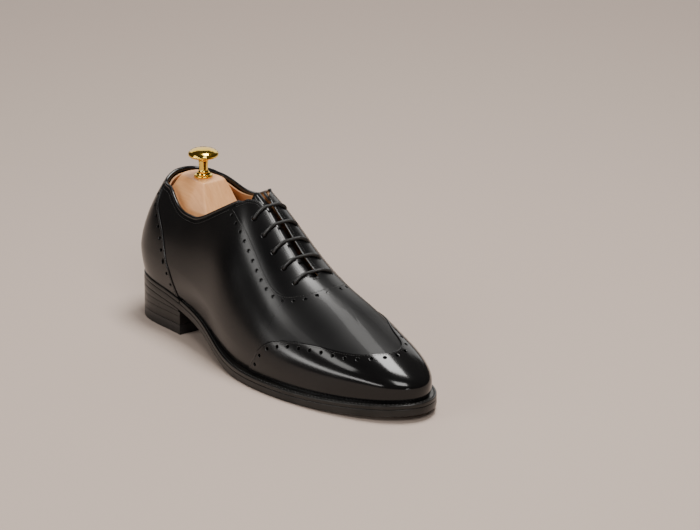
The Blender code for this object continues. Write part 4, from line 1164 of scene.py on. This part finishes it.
def edge_strip(name, node, first, last, width, groove):
    """A strip of leather along the sole's edge, with the sewing groove along its top."""
    section = [(width, -WELT), (0.35, -WELT), (0.1, -WELT + 0.1), (0.0, -WELT + 0.35),
               (0.0, -0.5), (0.12, -0.2), (0.4, -0.03), (groove - 0.7, 0.0), (groove - 0.3, -0.18),
               (groove, -0.3), (groove + 0.3, -0.18), (groove + 0.7, 0.0), (width, 0.0)]
    rings = []
    for i in range(first, last + 1):
        k = i % LOOP
        ring = []
        for inset, dz in section:
            x, y = EDGE[k] - OUTWARD[k] * inset
            ring.append((x, y, float(sole_top(x)) + dz))
        rings.append(ring)
    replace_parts(sharpen(sweep(name, rings, EDGE_WAX), 50), node)


def make_sole():
    layer("outsole_leather_sole", "outsole", EDGE[::2], outsole_low,
          lambda x: sole_top(x) - WELT - 0.15, EDGE_WAX, 0.45, 0.12)
    heel, short = heel_ring(HEEL_BREAST), heel_ring(HEEL_BREAST - 2)
    layer("heel_wedge", "heel_seat_wedge", short, seat_line,
          lambda x: outsole_low(x) - 0.12, EDGE_WAX, 0.22)
    layer("heel_lift_top", "heel_lift_upper", heel, level(LIFT_MIDDLE + 0.03),
          lambda x: seat_line(x) - 0.12, EDGE_WAX, 0.2)
    layer("heel_lift_bottom", "heel_lift_lower", heel, level(TOP_PIECE + 0.14),
          level(LIFT_MIDDLE), EDGE_WAX, 0.2)
    layer("heel_tread_piece", "heel_top_piece", heel, level(0), level(TOP_PIECE), RUBBER, 0.3)
    outer, inner = int(side_index(HEEL_BREAST, -1)), int(side_index(HEEL_BREAST, 1))
    edge_strip("welt_strip", "welt", outer + 1, inner, 12.0, 1.7)
    edge_strip("heel_rand_strip", "heel_rand", inner + 1 - LOOP, outer, 9.0, 2.0)


# ---- shoe tree ----

AXIS = np.array([math.cos(TREE_SLOPE), 0.0, -math.sin(TREE_SLOPE)])
AXIS_POINT = np.array([150.0, -5.0, 55.0])
BLOCK_TOP = 112.0
KNOB_PLACE = (46.5, 0.0, 0.0)
BLOCK_SLOPE = (0.86, 0, 0.51)              # faces the block's sloping front
ROD_BACK, ROD_FRONT, ROD = 62, 150, 3.4    # x of the ends, and the radius
TUBE_BACK, TUBE_FRONT, TUBE, TUBE_INSIDE = 112, 204, 5, 4
WOOD_TOP = 1.93            # v at which the wooden blocks are closed over


def sock_top(x):
    return sole_top(x) + 2 * GAP + INSOLE + SOCK


def block(name, node, body, out, bottom, cuts, voxel, smoothing, bore=None):
    """A wooden block: the last drawn in, cut by planes, bored, with its edges sanded round."""
    v = np.linspace(0.0, WOOD_TOP, 44)
    columns = np.array([offset_surface(i, v, out(rib_x(i)))
                        for i in np.linspace(0, LOOP, 240, endpoint=False)])
    columns[..., 2] = np.maximum(columns[..., 2], bottom(columns[..., 0]))
    obj = sweep(name, columns.transpose(1, 0, 2), WOOD, body, caps=False)
    bm = bmesh.new()
    bm.from_mesh(obj.data)
    strip_caps(bm, len(columns))
    for point, normal in cuts:
        geometry = bm.verts[:] + bm.edges[:] + bm.faces[:]
        result = bmesh.ops.bisect_plane(bm, geom=geometry, dist=1e-7, plane_co=to_row(point),
                                        plane_no=Vector(normal), clear_outer=True)
        cut = [e for e in result["geom_cut"] if isinstance(e, bmesh.types.BMEdge)]
        bmesh.ops.contextual_create(bm, geom=cut)
    bmesh.ops.recalc_face_normals(bm, faces=bm.faces)
    bm.to_mesh(obj.data)
    bm.free()
    remesh = obj.modifiers.new("sanded", "REMESH")
    remesh.mode = "VOXEL"
    remesh.voxel_size = voxel * MM
    remesh.use_smooth_shade = True
    smooth = obj.modifiers.new("rounded", "SMOOTH")
    smooth.factor = 0.5
    smooth.iterations = smoothing
    if bore:
        cutter = lathe("cutter", bore, WOOD, body, AXIS_POINT, AXIS, 40)
        hole = obj.modifiers.new("bored", "BOOLEAN")
        hole.operation = "DIFFERENCE"
        hole.solver = "EXACT"
        hole.object = cutter
    finished = bpy.data.meshes.new_from_object(
        obj.evaluated_get(bpy.context.evaluated_depsgraph_get()))
    obj.modifiers.clear()
    obj.data = finished
    if bore:
        bpy.data.objects.remove(cutter)
    for polygon in obj.data.polygons:
        polygon.use_smooth = True
    sharpen(obj, 50)
    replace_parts(obj, node)


def along_axis(x):
    return (x - AXIS_POINT[0]) / AXIS[0]


def bore_profile(first, last, radius):
    return [(r, along_axis(x)) for r, x in ((0, last), (radius, last), (radius, first), (0, first))]


def heel_out(x):
    """How far the heel block lies inside the last, more at its front, which slides forward."""
    return float(np.interp(x, [52, 78], [-6.6, -13.0]))


def toe_out(x):
    return float(np.interp(x, [200, 235], [-12.0, -6.0]))


def turned(name, node, profile, rounding, look, body, steps, *place):
    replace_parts(lathe(name, soften(profile, rounding), look, body, *place, steps=steps), node)


def make_tree():
    block("heel_block_wood", "tree_heel_block", "heel_unit", heel_out,
          lambda x: sock_top(x) + 4.0,
          [((0, 0, BLOCK_TOP), (0, 0, 1)), ((60, 0, BLOCK_TOP), BLOCK_SLOPE),
           ((90, 0, 60), (1, 0, 0))], 0.75, 7, bore_profile(ROD_BACK - 2, 100, ROD + 0.15))
    for name, node, body, y, way in (
            ("forepart_outer_wood", "tree_forepart_outer", "shoe", 3.0, 1),
            ("forepart_inner_wood", "tree_forepart_inner", "toe_half", 9.5, -1)):
        block(name, node, body, toe_out, lambda x: sock_top(x) + 0.6,
              [((152, 0, 0), (-1, 0, 0)), ((0, y, 0), (0, way, 0))], 1.0, 6,
              bore_profile(140, TUBE_FRONT + 2, TUBE + 0.2) if body == "shoe" else None)
    tube = [(0, TUBE_FRONT), (TUBE, TUBE_FRONT), (TUBE, TUBE_BACK), (TUBE_INSIDE, TUBE_BACK),
            (TUBE_INSIDE, TUBE_FRONT - 1.5), (0, TUBE_FRONT - 1.5)]
    turned("tree_steel_tube", "tree_tube", [(r, along_axis(x)) for r, x in tube], 0.3, STEEL,
           "shoe", 48, AXIS_POINT, AXIS)
    turned("tree_steel_rod", "tree_rod", bore_profile(ROD_BACK, ROD_FRONT, ROD), 0.4, STEEL,
           "heel_unit", 40, AXIS_POINT, AXIS)
    knob = [(0, 134.2), (2.8, 134.05), (5.6, 133.6), (8.1, 132.85), (10.0, 131.8), (11.0, 130.7),
            (11.4, 129.5), (11.2, 128.6), (10.4, 127.9), (8.6, 127.4), (6.4, 126.9), (4.7, 126.2),
            (3.9, 125.2), (3.6, 123.8), (3.4, 121.5), (3.3, 119), (3.3, 117.4), (3.7, 116.4),
            (4.3, 116.0), (0, 116.0)]
    turned("brass_knob", "tree_knob", knob, 0.5, BRASS, "heel_unit", 96, KNOB_PLACE)
    rosette = [(0, 116.0), (3.6, 116.0), (4.5, 115.6), (5.0, 114.9), (5.3, 114.3), (6.2, 114.05),
               (6.85, 113.6), (7.0, 113.1), (6.8, 112.5), (6.6, 111.9), (0, 111.9)]
    turned("brass_rosette", "tree_rosette", rosette, 0.35, BRASS, "heel_unit", 96, KNOB_PLACE)


# ---- lace ----


LACE_OVER, LACE_BELOW = 0.85, -5.1         # height of the lace above and below the facings
LACE_STEP = 0.8
BRAID, BRAID_ROUND = 0.8, 6.0              # size of the braid's pattern, along and round
TIP_LENGTH, TIP = 8.6, 1.2                 # length and radius of the lace's tips


def lace_route():
    """Over each pair of eyelets in a bar, and along below the facings from one to the next."""
    points = []

    def at(x, side, *places):
        points.extend(offset_surface(side_index(x, side), v, out) for v, out in places)

    side = -1
    down = [(EYELET_V, LACE_BELOW + 1.2), (EYELET_V, -1.4), (EYELET_V, 0.05)]
    bar = [(EYELET_V + 0.035, LACE_OVER), (1.81, LACE_OVER), (1.90, LACE_OVER)]
    end = (EYELET_V - 0.02, LACE_BELOW - 0.1)
    front_first = EYELET_X[::-1]
    for x in np.linspace(front_first[0] + 14, front_first[0] + 3, 3):
        at(x, side, end)
    for x, back in zip(front_first, front_first[1:] + [None]):
        at(x, side, *down, *bar)
        at(x, -side, *bar[::-1], *down[::-1])
        side = -side
        if back:
            for part in (0.22, 0.5, 0.78):
                at(x + (back - x) * part, side, (EYELET_V - 0.02, LACE_BELOW))
    for gone in (3, 8, 13):
        at(front_first[-1] - gone, side, end)
    return np.array(points)


def make_lace():
    route = rounded(lace_route(), 10)
    run = run_along(route)
    steps = np.linspace(0, run[-1], int(run[-1] / LACE_STEP))
    route = read_at(steps, run, route)
    sides = 16
    obj = sweep("lace_braid", tube_rings(route, LACE / 2, sides), LACE_LOOK)
    layer_uv = obj.data.uv_layers.new(name="braid")
    for polygon in obj.data.polygons:
        ks = [(v // sides, v % sides) for v in polygon.vertices]
        wrap = max(c for _, c in ks) == sides - 1 and min(c for _, c in ks) == 0
        for loop, (k, c) in zip(polygon.loop_indices, ks):
            around = sides if wrap and c == 0 else c
            layer_uv.data[loop].uv = (steps[k] * BRAID, around / sides * BRAID_ROUND)
    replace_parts(obj, "lace")
    for name, node, end, before in (("aglet_front_tip", "aglet_front", route[0], route[2]),
                                    ("aglet_back_tip", "aglet_back", route[-1], route[-3])):
        way = (end - before) / np.linalg.norm(end - before)
        marks = np.linspace(0.1, TIP_LENGTH - 0.2, 14)
        radius = np.clip(np.minimum(marks, TIP_LENGTH - marks) / 0.5, 0.55, 1) * TIP
        tip = sweep(name, tube_rings(end + way * marks[:, None], radius), LACE_LOOK)
        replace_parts(tip, node)


for make in (make_vamp, make_wing, make_counter, make_facing, make_linings, make_tongue,
             make_collar, make_sewing, make_sole, make_tree, make_lace):
    make()

# ---- floor, light and camera ----


def plain_floor():
    look = bpy.data.materials.new("plain_floor")
    look.use_nodes = True
    shader = look.node_tree.nodes["Principled BSDF"]
    shader.inputs["Base Color"].default_value = (0.52, 0.42, 0.36, 1)
    shader.inputs["Roughness"].default_value = 0.85
    mesh = bpy.data.meshes.new("floor")
    mesh.from_pydata([(-6, -6, 0), (6, -6, 0), (6, 6, 0), (-6, 6, 0)], [], [(0, 1, 2, 3)])
    mesh.materials.append(look)
    obj = bpy.data.objects.new("floor", mesh)
    bpy.context.scene.collection.objects.link(obj)


def dim_world():
    world = bpy.data.worlds.new("studio")
    bpy.context.scene.world = world
    world.use_nodes = True
    background = world.node_tree.nodes["Background"]
    background.inputs["Color"].default_value = (0.80, 0.72, 0.66, 1)
    background.inputs["Strength"].default_value = 0.06


def softbox(name, place, target, width, height, power):
    light = bpy.data.lights.new(name, "AREA")
    light.shape = "RECTANGLE"
    light.size, light.size_y = width, height
    light.energy = power
    light.color = (1, 0.98, 0.95)
    obj = bpy.data.objects.new(name, light)
    obj.location = place
    obj.rotation_euler = (Vector(target) - Vector(place)).to_track_quat("-Z", "Y").to_euler()
    bpy.context.scene.collection.objects.link(obj)


def add_camera():
    """A long lens in front of the outer side, with the shoe left of and below the middle."""
    azimuth, elevation = math.radians(54.66), math.radians(20.18)
    distance = 2.5445
    shoe_middle = Vector((-0.00116, 0.00259, 0.05))
    to_right, to_above = 0.018769, 0.008286        # how far off the shoe's middle the lens looks
    toward = Vector((math.sin(azimuth) * math.cos(elevation),
                     -math.cos(azimuth) * math.cos(elevation), math.sin(elevation)))
    right = Vector((math.cos(azimuth), math.sin(azimuth), 0))
    look_way = (-toward + right * to_right + toward.cross(right) * to_above).normalized()
    camera_right = (right - look_way * right.dot(look_way)).normalized()
    data = bpy.data.cameras.new("camera")
    data.sensor_width = 36.0
    data.lens = 180.3
    data.clip_end = 50
    camera = bpy.data.objects.new("camera", data)
    turn = Matrix((camera_right, camera_right.cross(look_way), -look_way)).transposed()
    camera.matrix_world = Matrix.Translation(shoe_middle + toward * distance) @ turn.to_4x4()
    bpy.context.scene.collection.objects.link(camera)
    bpy.context.scene.camera = camera


plain_floor()
dim_world()
add_camera()
softbox("overhead", (0.05, 0.28, 1.5), (0, 0.02, 0), 0.75, 0.5, 28)
softbox("front", (1.0, -0.42, 0.95), (0.1, 0, 0.03), 0.5, 0.45, 8)
softbox("side_strip", (0.05, -1.5, 0.36), (0.05, 0, 0.03), 1.7, 0.14, 8)
softbox("side_high", (-0.36, -1.46, 1.16), (0.02, 0, 0.05), 0.9, 0.35, 6)
softbox("low_front", (1.5, -0.42, 0.13), (0.13, 0, 0.03), 0.2, 0.08, 0.6)
softbox("backdrop", (-1.5, 1.1, 0.8), (0, 0, 0.05), 2.4, 1.2, 11)
